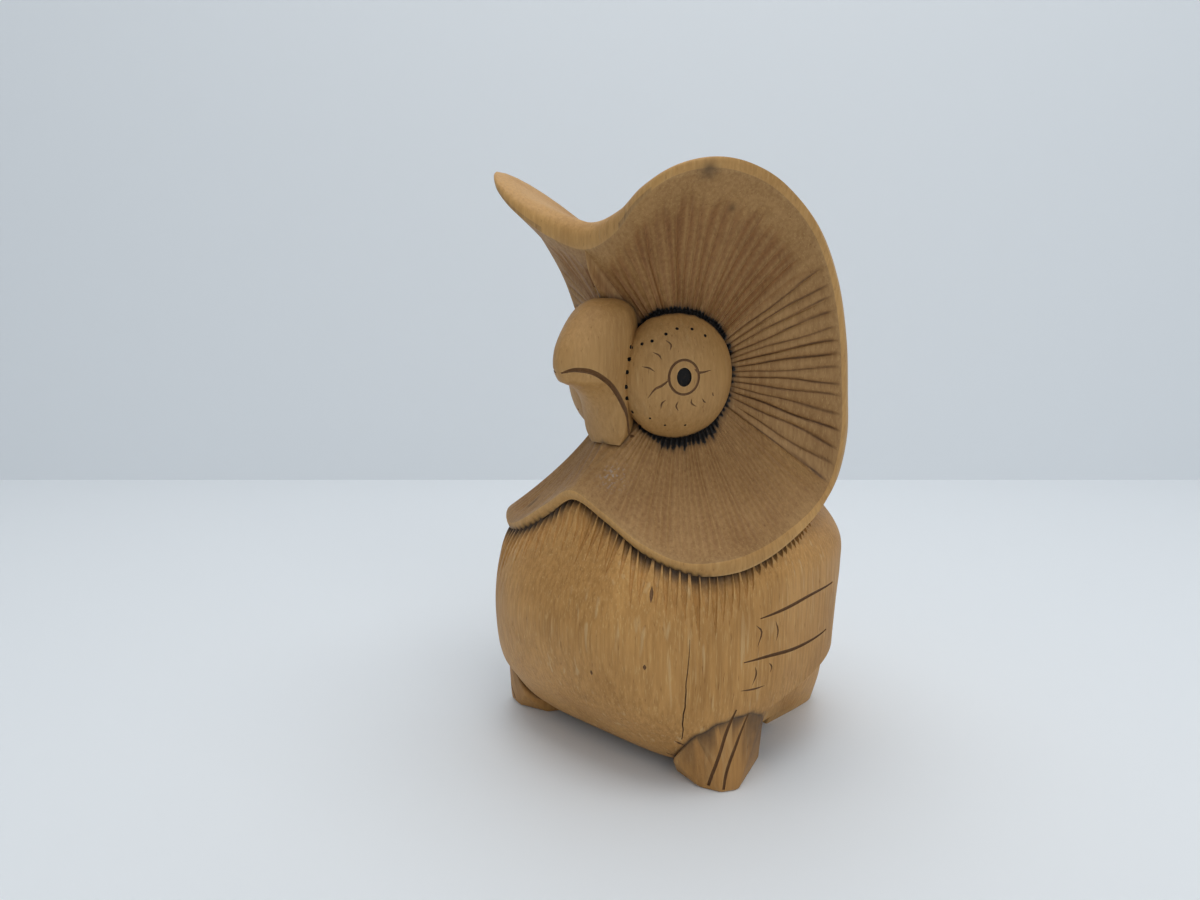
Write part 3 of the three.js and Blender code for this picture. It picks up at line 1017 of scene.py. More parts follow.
@dataclass
class Ember:
    """One mark of a hot iron's tip: a short round trough along a bent line."""

    line: np.ndarray
    across: np.ndarray
    radius: float
    sides: int = 7
    steps: int = 6
    fullness: float = 0.6
    finish: Finish = Finish.SCORCH

    def shell(self, carver: "Carver") -> Shell:
        """The burnt-out space as a closed solid, which isn't laid on the surface."""
        share = np.linspace(0, 1, self.steps + 1)
        places = spline(self.line, share)
        along = unit(np.gradient(places, axis=0))
        rise = unit(np.cross(along, self.across))
        sideways = np.cross(rise, along)
        around = np.linspace(0, 2 * np.pi, self.sides + 1)[:, None]
        full = self.radius * np.clip(np.sin(np.pi * share), 0, 1) ** self.fullness
        ring = sideways[:, None] * np.cos(around) + rise[:, None] * np.sin(around)
        points = places[:, None] + full[:, None, None] * ring
        points[:, -1] = points[:, 0]
        points[0], points[-1] = places[0], places[-1]
        return grid(points)


def batches(
    carver: Carver, strokes: list[Stroke | Ember], layers: int = 2
) -> list[bpy.types.Object]:
    """Makes strokes into a few cutting solids, so that neighbours aren't in the same one.

    Args:
        carver: whose surface they are laid on.
        strokes: the cuts, in order along the surface.
        layers: how many solids to share them out to.

    Returns:
        The solids.
    """
    made = []
    for finish in Finish:
        chosen = [stroke for stroke in strokes if stroke.finish is finish]
        for layer in range(layers):
            shells = [stroke.shell(carver) for stroke in chosen[layer::layers]]
            if shells:
                whole = shells[0].joined(*shells[1:])
                made.append(whole.made(f"{finish.value}_{layer}", finish))
    return made


@dataclass
class FaceCuts:
    """Ring, pupil, lids, feather arcs, stitch dots and the line of the beak."""

    pupil: Point = (15.9, -17.4, 79.1)
    pupil_yaw: float = 57.0
    pupil_radii: tuple[float, float] = (1.5, 1.85)
    pupil_depth: float = 0.5
    ring_radii: tuple[float, float] = (3.1, 3.4)
    ring_width: float = 0.5
    ring_depth: float = 0.32
    lids: tuple[tuple[Point, ...], ...] = (
        ((16.6, -15.4, 80.6), (17.3, -14.4, 79.9), (18.1, -11.9, 80.3)),
        ((14.0, -19.3, 78.9), (13.0, -20.7, 77.5), (11.9, -21.5, 76.8), (10.6, -22, 75)),
    )
    feathers: tuple[tuple[Point, ...], ...] = (
        ((12.7, -19.4, 86.3), (13.6, -18.8, 85.4), (13.5, -19, 84.2)),
        ((11.2, -21.4, 83.9), (12.2, -20.8, 83.4), (12.7, -20.5, 82.5)),
        ((9.6, -22.7, 81.1), (11, -22.2, 80.9), (11.9, -21.5, 80.2)),
        ((13.4, -19.9, 74.7), (12.7, -20.3, 74.0), (12.4, -20.2, 72.9)),
        ((15.0, -18.0, 74.4), (14.6, -18.2, 73.4), (14.7, -17.6, 72.4)),
        ((16.1, -15.6, 74.9), (16.2, -15.5, 73.9), (16.6, -14.4, 73.2)),
        ((17.1, -13.4, 74.8), (17.2, -13.0, 74.2), (17.4, -12.4, 73.9)),
        ((17.9, -11.3, 75.9), (18.0, -11.1, 75.4), (18.1, -10.8, 75.1)),
    )
    seam_dots: tuple[Point, ...] = (
        (6.8, -22.8, 84.8), (6.7, -23.2, 82.4), (6.6, -23.4, 79.9), (6.3, -23.4, 77),
        (6, -23.1, 74.7), (6.4, -21.7, 71.9), (6.5, -19.4, 69),
    )
    brow_dots: tuple[Point, ...] = (
        (8.8, -21.8, 85.4), (10.5, -20.8, 86), (12.2, -18.7, 87.3),
        (13.3, -16.7, 88.3), (14.9, -14.1, 88.2), (16.4, -11.8, 86.9),
    )
    chin_dots: tuple[Point, ...] = ((10, -20.6, 70.9), (11.9, -18.3, 69.5), (14.4, -15.1, 69.4))
    beak_line: tuple[Point, ...] = (
        (0.8, -36.2, 80.0), (2.2, -35, 80.7), (3.4, -33.8, 80.8), (4.6, -31.8, 80.4),
        (5.3, -29.6, 79.3), (5.6, -27, 77.4), (5.7, -24.8, 74.9), (5.7, -22.9, 71.8),
        (5.3, -21, 68.4), (4.8, -20, 66.4),
    )
    beak_skew: float = 0.6

    def ring(self) -> np.ndarray:
        """Points round the pupil, in the eye's own plane."""
        turn = math.radians(self.pupil_yaw)
        across = np.array([math.cos(turn), math.sin(turn), 0])
        around = np.linspace(0, 2 * np.pi, 25)
        wide, tall = self.ring_radii
        flat = across * np.cos(around)[:, None] * wide
        return np.array(self.pupil) + flat + np.array([0, 0, 1]) * np.sin(around)[:, None] * tall

    def strokes(self, side: int) -> list[Stroke]:
        """The thin cuts of one side of the face."""
        ring = self.ring()
        made = [
            Stroke(ring[:14], self.ring_width, self.ring_depth, steps=18, start=1, end=1),
            Stroke(ring[12:], self.ring_width, self.ring_depth, steps=18, start=1, end=1),
        ]
        made += [Stroke(np.array(lid), 0.5, 0.3, steps=8, peak=0.35) for lid in self.lids]
        made += [Stroke(np.array(arc), 0.34, 0.2, steps=6) for arc in self.feathers]
        groove = np.array(self.beak_line)
        made.append(Stroke(groove, 1.0, 0.6, 0.3, 0.8, 0.3, steps=30, skew=self.beak_skew))
        for stroke in made:
            stroke.line = mirror(stroke.line) if side else stroke.line
        return made

    def dots(self, side: int) -> list[Stroke]:
        """The drilled dots of one side of the face."""
        made = []
        for dots, width, depth in (
            (self.seam_dots, 0.82, 0.7), (self.brow_dots, 0.72, 0.5), (self.chin_dots, 0.5, 0.3),
        ):
            for x, y, z in dots:
                dot = np.array([[x, y, z + width / 2], [x, y, z], [x, y, z - width / 2]])
                dot = mirror(dot) if side else dot
                made.append(
                    Stroke(dot, width, depth, 0.45, 0.45, sides=7, steps=5, finish=Finish.PUPIL)
                )
        return made

    def pupil_tool(self, side: int) -> bpy.types.Object:
        """The flat-bottomed oval that is sunk for a pupil."""
        turn = math.radians(self.pupil_yaw)
        across = np.array([math.cos(turn), math.sin(turn), 0])
        outward = np.array([math.sin(turn), -math.cos(turn), 0])
        around = np.linspace(0, 2 * np.pi, 33)
        wide, tall = self.pupil_radii
        oval = across * np.cos(around)[:, None] * wide
        oval = oval + np.array([0, 0, 1]) * np.sin(around)[:, None] * tall + np.array(self.pupil)
        oval[-1] = oval[0]
        levels = np.array([-self.pupil_depth, 2.0])[:, None, None] * outward
        walls = oval + levels
        middle = np.array(self.pupil) + levels * np.ones((1, 33, 1))
        shell = grid(np.concatenate([middle[:1], walls, middle[1:]]))
        shell = shell.mirrored() if side else shell
        return shell.made(f"pupil_{side}", Finish.PUPIL)


@dataclass
class Scorching:
    """Marks of a hot iron round each eye, where it meets the dish."""

    seed: int = 5
    # From one angle to another about the dish's axis: how far apart the marks are,
    # how long and wide they are, and how much of each lies on the eye's side.
    runs: tuple[tuple[float, float, float, float, float, float], ...] = (
        (148, 96, 3.6, 1.7, 1.0, 0.55),
        (96, 50, 3.4, 1.7, 1.0, 0.5),
        (48, -18, 9.5, 0.9, 0.7, 0.45),
        (-24, -58, 5.2, 1.7, 0.75, 0.3),
        (-58, -116, 4.4, 2.9, 0.85, 0.2),
        (-116, -142, 4.6, 1.4, 0.8, 0.4),
    )
    length_spread: tuple[float, float] = (0.6, 1.2)
    width_spread: tuple[float, float] = (0.75, 1.15)
    sink: float = 0.05

    def marks(self, hood: Hood, eye: Eye, side: int) -> list[Ember]:
        """Lays the marks across the joint of an eye and its dish.

        Args:
            hood: the head that carries the dish.
            eye: the bulge.
            side: 0 for the owl's left and 1 for its right.

        Returns:
            The marks, in order round the eye.
        """
        rng = np.random.default_rng(self.seed + side)
        facing = hood.dish.axes()[2]
        made = []
        for first, last, pitch, length, width, inner in self.runs:
            turn = first
            while turn > last:
                long = length * rng.uniform(*self.length_spread)
                radius = 0.5 * width * rng.uniform(*self.width_spread)
                joint, way = self.joint(hood, eye, turn, side)
                beside, _ = self.joint(hood, eye, turn + 1, side)
                along = unit(beside - joint)
                bulge = eye.outward(joint)
                climb = unit(np.cross(bulge, along))
                climb = climb * np.sign(climb @ facing)
                ground = unit(np.cross(way, along))
                ground = ground * np.sign(ground @ facing)
                line = np.array([
                    joint + climb * long * inner - bulge * self.sink,
                    joint - unit(bulge + ground) * self.sink,
                    joint + way * long * (1 - inner) - ground * self.sink,
                ])
                if side:
                    line, along = mirror(line), mirror(along)
                made.append(Ember(line, along, radius))
                turn -= pitch * rng.uniform(0.8, 1.2)
        return made

    def joint(
        self, hood: Hood, eye: Eye, turn: float, side: int
    ) -> tuple[np.ndarray, np.ndarray]:
        """Finds where the bulge meets the dish.

        Args:
            hood: the head that carries the dish.
            eye: the bulge.
            turn: an angle about the dish's axis.
            side: 0 for the owl's left and 1 for its right.

        Returns:
            The place, and the way out over the dish from there.
        """
        share = np.linspace(0.15, 0.8, 131)
        border = hood.borders[side]
        turns, _ = hood.flutes.turns()
        start = hood.flutes.rim_turn[0]
        below = start - (start - turn) % 360
        rim = np.array([np.interp(-below, -turns, border[:, axis]) for axis in range(3)])
        seen = np.stack([share * rim[0], share * rim[1], share**hood.dish.curve * rim[2]], axis=-1)
        points = hood.dish.placed(seen)
        outside = np.nonzero(eye.fullness(points) > 1)[0]
        found = int(outside[0]) if len(outside) else len(points) - 1
        return points[found], unit(points[found] - points[found - 1])


@dataclass
class BodyCuts:
    """The fringe under the bib, the wing feathers, the toes and the flaws of the wood."""

    fringe_stations: tuple[float, float] = (12.4, 20.0)
    fringe_pitch: float = 1.75
    fringe_width: float = 1.5
    fringe_depth: float = 0.75
    # The shortest and longest cuts, on the flank and in front.
    fringe_length: tuple[float, float] = (2.4, 10.5)
    fringe_fade_y: tuple[float, float] = (-13.0, -25.0)
    fringe_rise: float = 1.5
    seed: int = 3
    wings: tuple[tuple[Point, ...], ...] = (
        ((34.2, -16, 34.4), (35.4, -8.6, 35), (35.5, 0.3, 35.7), (34.2, 10.1, 35.6)),
        ((33.1, -19.6, 26.4), (34.6, -13.5, 26.4), (35.3, -5.7, 25.8), (35.2, 1.4, 25.8),
         (34.5, 7.6, 26)),
    )
    wing_width: float = 0.72
    wing_depth: float = 0.5
    faint: tuple[Point, ...] = ((32.8, -20.1, 20.8), (33.6, -17, 20.5), (34.2, -14.2, 20.5))
    commas: tuple[tuple[Point, ...], ...] = (
        ((33.9, -16.9, 33.2), (34.4, -15.6, 31.6), (34.1, -16.6, 28.9)),
        ((35, -12, 33.1), (35.1, -11.2, 31), (35, -11.6, 29)),
        ((33.9, -17, 25), (33.9, -16.7, 23.4), (33.6, -17.5, 21.4)),
        ((34.6, -13.4, 24.9), (34.8, -12.7, 24.0), (34.7, -13.0, 22.9)),
    )
    toes: tuple[tuple[Point, ...], ...] = (
        ((32.2, -20.5, 17), (31, -22.6, 10.7), (28.5, -23.9, 1.0)),
        ((33, -17.4, 15.4), (32.3, -20.1, 9.8), (31.4, -21.8, 4.5), (31.1, -22.3, 0.6)),
    )
    notches: tuple[tuple[Point, ...], ...] = (
        ((23.2, -27.6, 10.2), (23.9, -27, 9.5), (24.8, -26.4, 8.9)),
        ((19.2, -25.4, 5.5), (19.9, -24.8, 4.9), (20.9, -24.6, 4.6)),
    )
    crack: tuple[Point, ...] = (
        (27.6, -29.1, 32.1), (27.2, -29.5, 22.3), (26.3, -29.1, 15.6), (24.8, -27.4, 10.8),
    )
    knots: tuple[tuple[Point, float, float], ...] = (
        ((21.2, -32.8, 40.3), 0.7, 3.4),
        ((10.5, -37.6, 23.3), 0.55, 1.2),
        ((21.2, -34.4, 26.5), 0.7, 1.1),
    )

    def fringe(self, hood: Hood, side: int) -> list[Stroke]:
        """The gouge cuts that hang from the edge of the bib.

        Args:
            hood: the head whose edge they follow.
            side: 0 for the owl's left and 1 for its right.

        Returns:
            The cuts, in order along the edge.
        """
        rng = np.random.default_rng(self.seed + side)
        at, _, _ = hood.lines(side)
        last = len(at) - 1
        walk = np.linspace(self.fringe_stations[0] / last, self.fringe_stations[1] / last, 400)
        edge = half_spline(at, walk)
        steps = np.linalg.norm(np.diff(edge, axis=0), axis=1)
        length = np.concatenate([[0], np.cumsum(steps)])
        made = []
        place = 0.5 * self.fringe_pitch
        while place < length[-1]:
            top = np.array([np.interp(place, length, edge[:, axis]) for axis in range(3)])
            short, longest = self.fringe_length
            long = short + (longest - short) * float(smoothstep(*self.fringe_fade_y, top[1]))
            long *= rng.uniform(0.75, 1.15)
            lean = rng.uniform(-0.12, 0.08)
            drops = np.array([-self.fringe_rise, 0.25 * long, 0.62 * long, long])[:, None]
            line = top + np.array([lean, 0, -1.0]) * drops
            line = mirror(line) if side else line
            width = self.fringe_width * rng.uniform(0.8, 1.1)
            depth = self.fringe_depth * rng.uniform(0.7, 1.1)
            made.append(Stroke(line, width, depth, 0.9, 0.05, 0.2, steps=8, finish=Finish.GOUGE))
            place += self.fringe_pitch * rng.uniform(0.85, 1.15)
        return made

    def strokes(self, side: int) -> list[Stroke]:
        """The knife cuts of one flank and foot."""
        made = [
            Stroke(np.array(line), self.wing_width, self.wing_depth, 0.3, 0.5, 0.4, steps=16)
            for line in self.wings
        ]
        made.append(Stroke(np.array(self.faint), 0.4, 0.2, steps=8))
        made += [Stroke(np.array(comma), 0.42, 0.26, steps=6) for comma in self.commas]
        made += [Stroke(np.array(toe), 0.7, 0.5, 0.5, 0.8, 0.4, steps=14) for toe in self.toes]
        made += [Stroke(np.array(notch), 0.6, 0.4, steps=5) for notch in self.notches]
        for stroke in made:
            stroke.line = mirror(stroke.line) if side else stroke.line
        return made

    def flaws(self) -> list[Stroke]:
        """A drying crack and small knots, on the owl's left."""
        share = np.linspace(0, 1, 15)
        crack = spline(np.array(self.crack), share)
        crack[:, 0] += 0.12 * np.sin(17 * share) + 0.08 * np.sin(41 * share)
        made = [Stroke(crack, 0.26, 0.6, 0.3, 0.6, 0.6, sides=4, steps=26)]
        for (x, y, z), width, tall in self.knots:
            line = np.array([[x, y, z + tall / 2], [x, y, z], [x, y, z - tall / 2]])
            made.append(Stroke(line, width, 0.25, 0.1, 0.1, steps=6))
        return made


@dataclass
class Dressing:
    """Writes the masks that the finishes read on the owl's vertices."""

    crease_reach: float = 0.55
    burn_reach: float = 0.75
    dust_spots: tuple[tuple[Point, float], ...] = (
        ((6.5, -27.5, 60.5), 2.6),
        ((30.2, -10, 58.0), 2.2),
    )
    stain_spots: tuple[tuple[Point, float], ...] = (
        ((27.6, -26, 116.1), 1.6),
        ((26.5, -17.7, 110.2), 0.7),
        ((12.8, -30.8, 109.3), 0.45),
        ((6.1, -35.4, 16.3), 0.6),
    )
    # How far below the bib's edge the belly is darkened with painted shadow.
    fringe_reach: float = 1.9

    def written(self, mesh: bpy.types.Mesh, mask: Mask, values: np.ndarray) -> None:
        """Stores one mask."""
        layer = mesh.attributes.new(mask.value, "FLOAT", "POINT")
        layer.data.foreach_set("value", np.clip(values, 0, 1).astype(np.float32))

    def distances(self, points: np.ndarray, chosen: np.ndarray, limit: float) -> np.ndarray:
        """How far each point is from the nearest of the chosen ones, up to a limit."""
        tree = KDTree(max(1, int(chosen.sum())))
        for number, place in enumerate(points[chosen]):
            tree.insert(place, number)
        tree.balance()
        if not chosen.any():
            return np.full(len(points), limit)
        return np.array([min(limit, tree.find(place)[2]) for place in points])

    def dress(self, mesh: bpy.types.Mesh, hood: Hood) -> None:
        """Works out and writes every mask.

        Args:
            mesh: the finished owl.
            hood: the head that its dishes were made from.
        """
        count = len(mesh.vertices)
        flat = np.empty(count * 3, np.float32)
        mesh.vertices.foreach_get("co", flat)
        points = flat.reshape(-1, 3).astype(float) / METRES - np.array([0, AXIS_Y, 0])
        names = [material.name for material in mesh.materials]
        here = {finish: np.zeros(count, bool) for finish in Finish}
        loops = np.empty(len(mesh.loops), np.int32)
        mesh.loops.foreach_get("vertex_index", loops)
        starts = np.empty(len(mesh.polygons), np.int32)
        mesh.polygons.foreach_get("loop_start", starts)
        kinds = np.empty(len(mesh.polygons), np.int32)
        mesh.polygons.foreach_get("material_index", kinds)
        owner = np.zeros(len(mesh.loops), np.int32)
        owner[starts[1:]] = 1
        owner = np.cumsum(owner)
        for finish in Finish:
            if finish.value in names:
                used = kinds[owner] == names.index(finish.value)
                here[finish][loops[used]] = True
        side = (points[:, 0] < 0).astype(int)
        folded = points * np.where(side, -1, 1)[:, None] ** np.array([1, 0, 0])
        seen = hood.dish.seen(folded)
        turn = hood.dish.turn_of(seen, hood.flutes.rim_turn[0])
        valley, slit = np.zeros(count), np.zeros(count)
        for number in (0, 1):
            on = side == number
            share = hood.dish_share(seen[on], number)
            depth, slit[on] = hood.flutes.cuts(turn[on], share, number)
            valley[on] = depth / hood.flutes.round_depth
        self.written(mesh, Mask.VALLEY, valley)
        self.written(mesh, Mask.SLIT, slit)
        here[Finish.BODY] |= here[Finish.GOUGE]
        # Where parts meet the colour is darkened: painted shade in the creases.
        solids = (Finish.BODY, Finish.HOOD, Finish.FACE, Finish.FOOT, Finish.DISH)
        shared = sum(here[finish].astype(int) for finish in solids) > 1
        touching = shared & ~(here[Finish.HOOD] & here[Finish.DISH])
        away = self.distances(points, touching, 6.0)
        self.written(mesh, Mask.CREASE, np.exp(-((away / self.crease_reach) ** 2)))
        away = self.distances(points, here[Finish.SCORCH], 8.0)
        self.written(mesh, Mask.BURN, np.exp(-((away / self.burn_reach) ** 2)))
        # Below the bib's edge the belly is darkened: painted shadow of the overhanging bib.
        away = self.distances(points, here[Finish.HOOD] & here[Finish.BODY], 12.0)
        self.written(mesh, Mask.FRINGE, np.exp(-((away / self.fringe_reach) ** 2)))
        self.written(mesh, Mask.DUST, self.spotted(points, self.dust_spots))
        self.written(mesh, Mask.STAIN, self.spotted(points, self.stain_spots))
        # The edge mask lets the finishes lighten proud crests: a painted highlight.
        self.written(mesh, Mask.EDGE, self.edges(mesh, points))

    def spotted(
        self, points: np.ndarray, spots: tuple[tuple[Point, float], ...]
    ) -> np.ndarray:
        """How near each point is to the middle of some round spots.

        Args:
            points: places in millimetres.
            spots: each spot's middle and reach.

        Returns:
            From 0 far away to 1 at a spot's middle.
        """
        near = np.zeros(len(points))
        for place, reach in spots:
            away = np.linalg.norm(points - np.array(place), axis=1)
            near = np.maximum(near, np.exp(-((away / reach) ** 2)))
        return near

    def edges(self, mesh: bpy.types.Mesh, points: np.ndarray) -> np.ndarray:
        """How much each vertex stands proud of its neighbours, 0.5 where it is flat."""
        pairs = np.empty(len(mesh.edges) * 2, np.int32)
        mesh.edges.foreach_get("vertices", pairs)
        pairs = pairs.reshape(-1, 2)
        flat = np.empty(len(mesh.vertices) * 3, np.float32)
        mesh.vertices.foreach_get("normal", flat)
        normals = flat.reshape(-1, 3)
        total = np.zeros(len(points))
        count = np.zeros(len(points))
        for first, second in ((0, 1), (1, 0)):
            a, b = pairs[:, first], pairs[:, second]
            way = points[b] - points[a]
            far = np.maximum(np.linalg.norm(way, axis=1), 0.05)
            slope = -(way * normals[a]).sum(axis=1) / far
            np.add.at(total, a, slope)
            np.add.at(count, a, 1)
        return 0.5 + total / np.maximum(count, 1)


class Graph:
    """A shader tree to which nodes are added by kind, with their inputs."""

    def __init__(self, tree: bpy.types.NodeTree) -> None:
        """Works on one tree."""
        self.tree = tree

    def add(self, kind: str, inputs: dict | None = None, **settings: object) -> bpy.types.Node:
        """Adds a node.

        Args:
            kind: the node's type, without its ShaderNode prefix.
            inputs: values or other nodes' sockets, by socket name or number.
            settings: the node's own properties.

        Returns:
            The node.
        """
        node = self.tree.nodes.new("ShaderNode" + kind)
        for name, value in settings.items():
            setattr(node, name, value)
        for name, value in (inputs or {}).items():
            socket = node.inputs[name]
            if isinstance(value, bpy.types.NodeSocket):
                self.tree.links.new(value, socket)
            else:
                socket.default_value = value
        return node

    def blend(
        self, mode: str, share: object, first: object, second: object
    ) -> bpy.types.NodeSocket:
        """Mixes two colours.

        Args:
            mode: MIX, MULTIPLY and the like.
            share: how much of the second colour.
            first: a colour.
            second: another colour.

        Returns:
            The socket of the result.
        """
        node = self.add("Mix", None, data_type="RGBA", blend_type=mode)
        for place, value in ((0, share), (6, first), (7, second)):
            if isinstance(value, bpy.types.NodeSocket):
                self.tree.links.new(value, node.inputs[place])
            else:
                node.inputs[place].default_value = value
        return node.outputs[2]

    def math(self, operation: str, *values: object) -> bpy.types.NodeSocket:
        """Adds a sum, product or other step on plain numbers."""
        node = self.add("Math", dict(enumerate(values)), operation=operation)
        return node.outputs[0]

    def ramp(self, value: bpy.types.NodeSocket, low: float, high: float) -> bpy.types.NodeSocket:
        """Stretches a value so that low becomes 0 and high becomes 1."""
        node = self.add(
            "MapRange", {"Value": value, "From Min": low, "From Max": high},
            interpolation_type="SMOOTHSTEP",
        )
        return node.outputs[0]

    def mask(self, mask: Mask) -> bpy.types.NodeSocket:
        """Reads what the dressing wrote on the vertices."""
        return self.add("Attribute", None, attribute_name=mask.value).outputs["Fac"]


class GroupMaker:
    """A shader node group with named sockets."""

    KINDS = {"colour": "NodeSocketColor", "value": "NodeSocketFloat", "vector": "NodeSocketVector"}

    def __init__(self, name: str, inputs: dict[str, str], outputs: dict[str, str]) -> None:
        """Makes the group and its sockets.

        Args:
            name: the group's name.
            inputs: a kind for each input's name.
            outputs: a kind for each output's name.
        """
        self.tree = bpy.data.node_groups.new(name, "ShaderNodeTree")
        for names, way in ((inputs, "INPUT"), (outputs, "OUTPUT")):
            for socket, kind in names.items():
                self.tree.interface.new_socket(socket, in_out=way, socket_type=self.KINDS[kind])
        self.graph = Graph(self.tree)
        self.start = self.tree.nodes.new("NodeGroupInput").outputs
        self.end = self.tree.nodes.new("NodeGroupOutput").inputs

    def finish(self, **results: bpy.types.NodeSocket) -> bpy.types.NodeTree:
        """Joins the results to the outputs of the same names."""
        for name, socket in results.items():
            self.tree.links.new(socket, self.end[name.replace("_", " ")])
        return self.tree


def timber_group() -> bpy.types.NodeTree:
    """Wood with upright fibres: broad tone, fine streaks and pores."""
    maker = GroupMaker(
        "timber",
        {"Vector": "vector", "Light": "colour", "Dark": "colour", "Streaks": "value",
         "Blotches": "value", "Flecks": "value"},
        {"Colour": "colour", "Height": "value", "Roughness": "value"},
    )
    g, start = maker.graph, maker.start

    def noise(scale: Point, detail: float, warp: float = 0.0) -> bpy.types.NodeSocket:
        stretched = g.add("Mapping", {"Vector": start["Vector"], "Scale": scale}).outputs[0]
        made = g.add(
            "TexNoise", {"Vector": stretched, "Scale": 1.0, "Detail": detail, "Distortion": warp}
        )
        return made.outputs["Fac"]

    blotch = noise((55, 55, 38), 3.0, 0.4)
    fibre = noise((1500, 1500, 70), 3.0)
    fine = noise((4200, 4200, 260), 2.0)
    pore = noise((3000, 3000, 420), 1.0)
    broad = g.ramp(blotch, 0.3, 0.7)
    streak = g.ramp(fibre, 0.3, 0.72)
    tone = g.math("MULTIPLY", broad, start["Blotches"])
    tone = g.math("MULTIPLY_ADD", streak, start["Streaks"], tone)
    tone = g.math("MINIMUM", tone, 1.0)
    colour = g.blend("MIX", tone, start["Light"], start["Dark"])
    pores = g.ramp(pore, 0.66, 0.8)
    colour = g.blend("MULTIPLY", g.math("MULTIPLY", pores, 0.45), colour, (0.45, 0.33, 0.25, 1))
    bright = g.math("MULTIPLY", g.ramp(fine, 0.55, 0.75), start["Flecks"])
    colour = g.blend("MIX", bright, colour, (0.66, 0.43, 0.17, 1))
    height = g.math("MULTIPLY_ADD", fibre, 0.6, g.math("MULTIPLY", fine, 0.4))
    height = g.math("SUBTRACT", height, g.math("MULTIPLY", pores, 0.5))
    rough = g.math("MULTIPLY_ADD", broad, 0.1, 0.52)
    rough = g.math("MULTIPLY_ADD", pores, 0.15, rough)
    return maker.finish(Colour=colour, Height=height, Roughness=rough)


def scratch_group() -> bpy.types.NodeTree:
    """Pale slanting marks that a blade leaves across the fibres."""
    maker = GroupMaker(
        "blade_marks",
        {"Vector": "vector", "Colour": "colour", "Pale": "colour", "Amount": "value"},
        {"Colour": "colour", "Height": "value"},
    )
    g, start = maker.graph, maker.start
    turned = g.add(
        "Mapping",
        {"Vector": start["Vector"], "Rotation": (0.0, 0.22, 0.12), "Scale": (900, 900, 105)},
    ).outputs[0]
    cells = g.add(
        "TexNoise", {"Vector": turned, "Scale": 1.0, "Detail": 1.0, "Roughness": 0.4}
    ).outputs["Fac"]
    marks = g.ramp(cells, 0.6, 0.74)
    where = g.add("TexNoise", {"Vector": start["Vector"], "Scale": 60.0, "Detail": 1.0})
    marks = g.math("MULTIPLY", marks, g.ramp(where.outputs["Fac"], 0.4, 0.6))
    share = g.math("MULTIPLY", marks, start["Amount"])
    colour = g.blend("MIX", share, start["Colour"], start["Pale"])
    return maker.finish(Colour=colour, Height=marks)


def shade_and_stain_group() -> bpy.types.NodeTree:
    """Darkens a colour where a mask is high, broken up a little: painted shade in slits, creases and
    under the bib's edge, and the wood's real stains.
    """
    maker = GroupMaker(
        "shade_and_stain",
        {"Vector": "vector", "Colour": "colour", "Darkening": "colour", "Mask": "value",
         "Amount": "value"},
        {"Colour": "colour"},
    )
    g, start = maker.graph, maker.start
    patches = g.add("TexNoise", {"Vector": start["Vector"], "Scale": 420.0, "Detail": 3.0})
    broken = g.math("MULTIPLY_ADD", patches.outputs["Fac"], 0.9, 0.55)
    share = g.math("MULTIPLY", g.math("MULTIPLY", start["Mask"], broken), start["Amount"])
    share = g.math("MINIMUM", share, 1.0)
    return maker.finish(Colour=g.blend("MIX", share, start["Colour"], start["Darkening"]))


def scorch_group() -> bpy.types.NodeTree:
    """Ragged charring round a hot iron's marks."""
    maker = GroupMaker(
        "scorch",
        {"Vector": "vector", "Colour": "colour", "Char": "colour", "Mask": "value"},
        {"Colour": "colour", "Share": "value"},
    )
    g, start = maker.graph, maker.start
    rough = g.add("TexNoise", {"Vector": start["Vector"], "Scale": 1300.0, "Detail": 3.0})
    level = g.math("MULTIPLY_ADD", rough.outputs["Fac"], 0.7, start["Mask"])
    black = g.ramp(level, 1.0, 1.28)
    halo = g.math("MULTIPLY", g.ramp(start["Mask"], 0.02, 0.9), 0.6)
    colour = g.blend("MIX", halo, start["Colour"], (0.075, 0.036, 0.014, 1))
    colour = g.blend("MIX", black, colour, start["Char"])
    return maker.finish(Colour=colour, Share=black)


def dust_group() -> bpy.types.NodeTree:
    """Pale specks of dust where a mask is high."""
    maker = GroupMaker(
        "dust",
        {"Vector": "vector", "Colour": "colour", "Dust": "colour", "Mask": "value"},
        {"Colour": "colour"},
    )
    g, start = maker.graph, maker.start
    specks = g.add("TexNoise", {"Vector": start["Vector"], "Scale": 1900.0, "Detail": 2.0})
    level = g.math("MULTIPLY", g.ramp(specks.outputs["Fac"], 0.52, 0.66), start["Mask"])
    share = g.math("MULTIPLY", level, 0.75)
    return maker.finish(Colour=g.blend("MIX", share, start["Colour"], start["Dust"]))


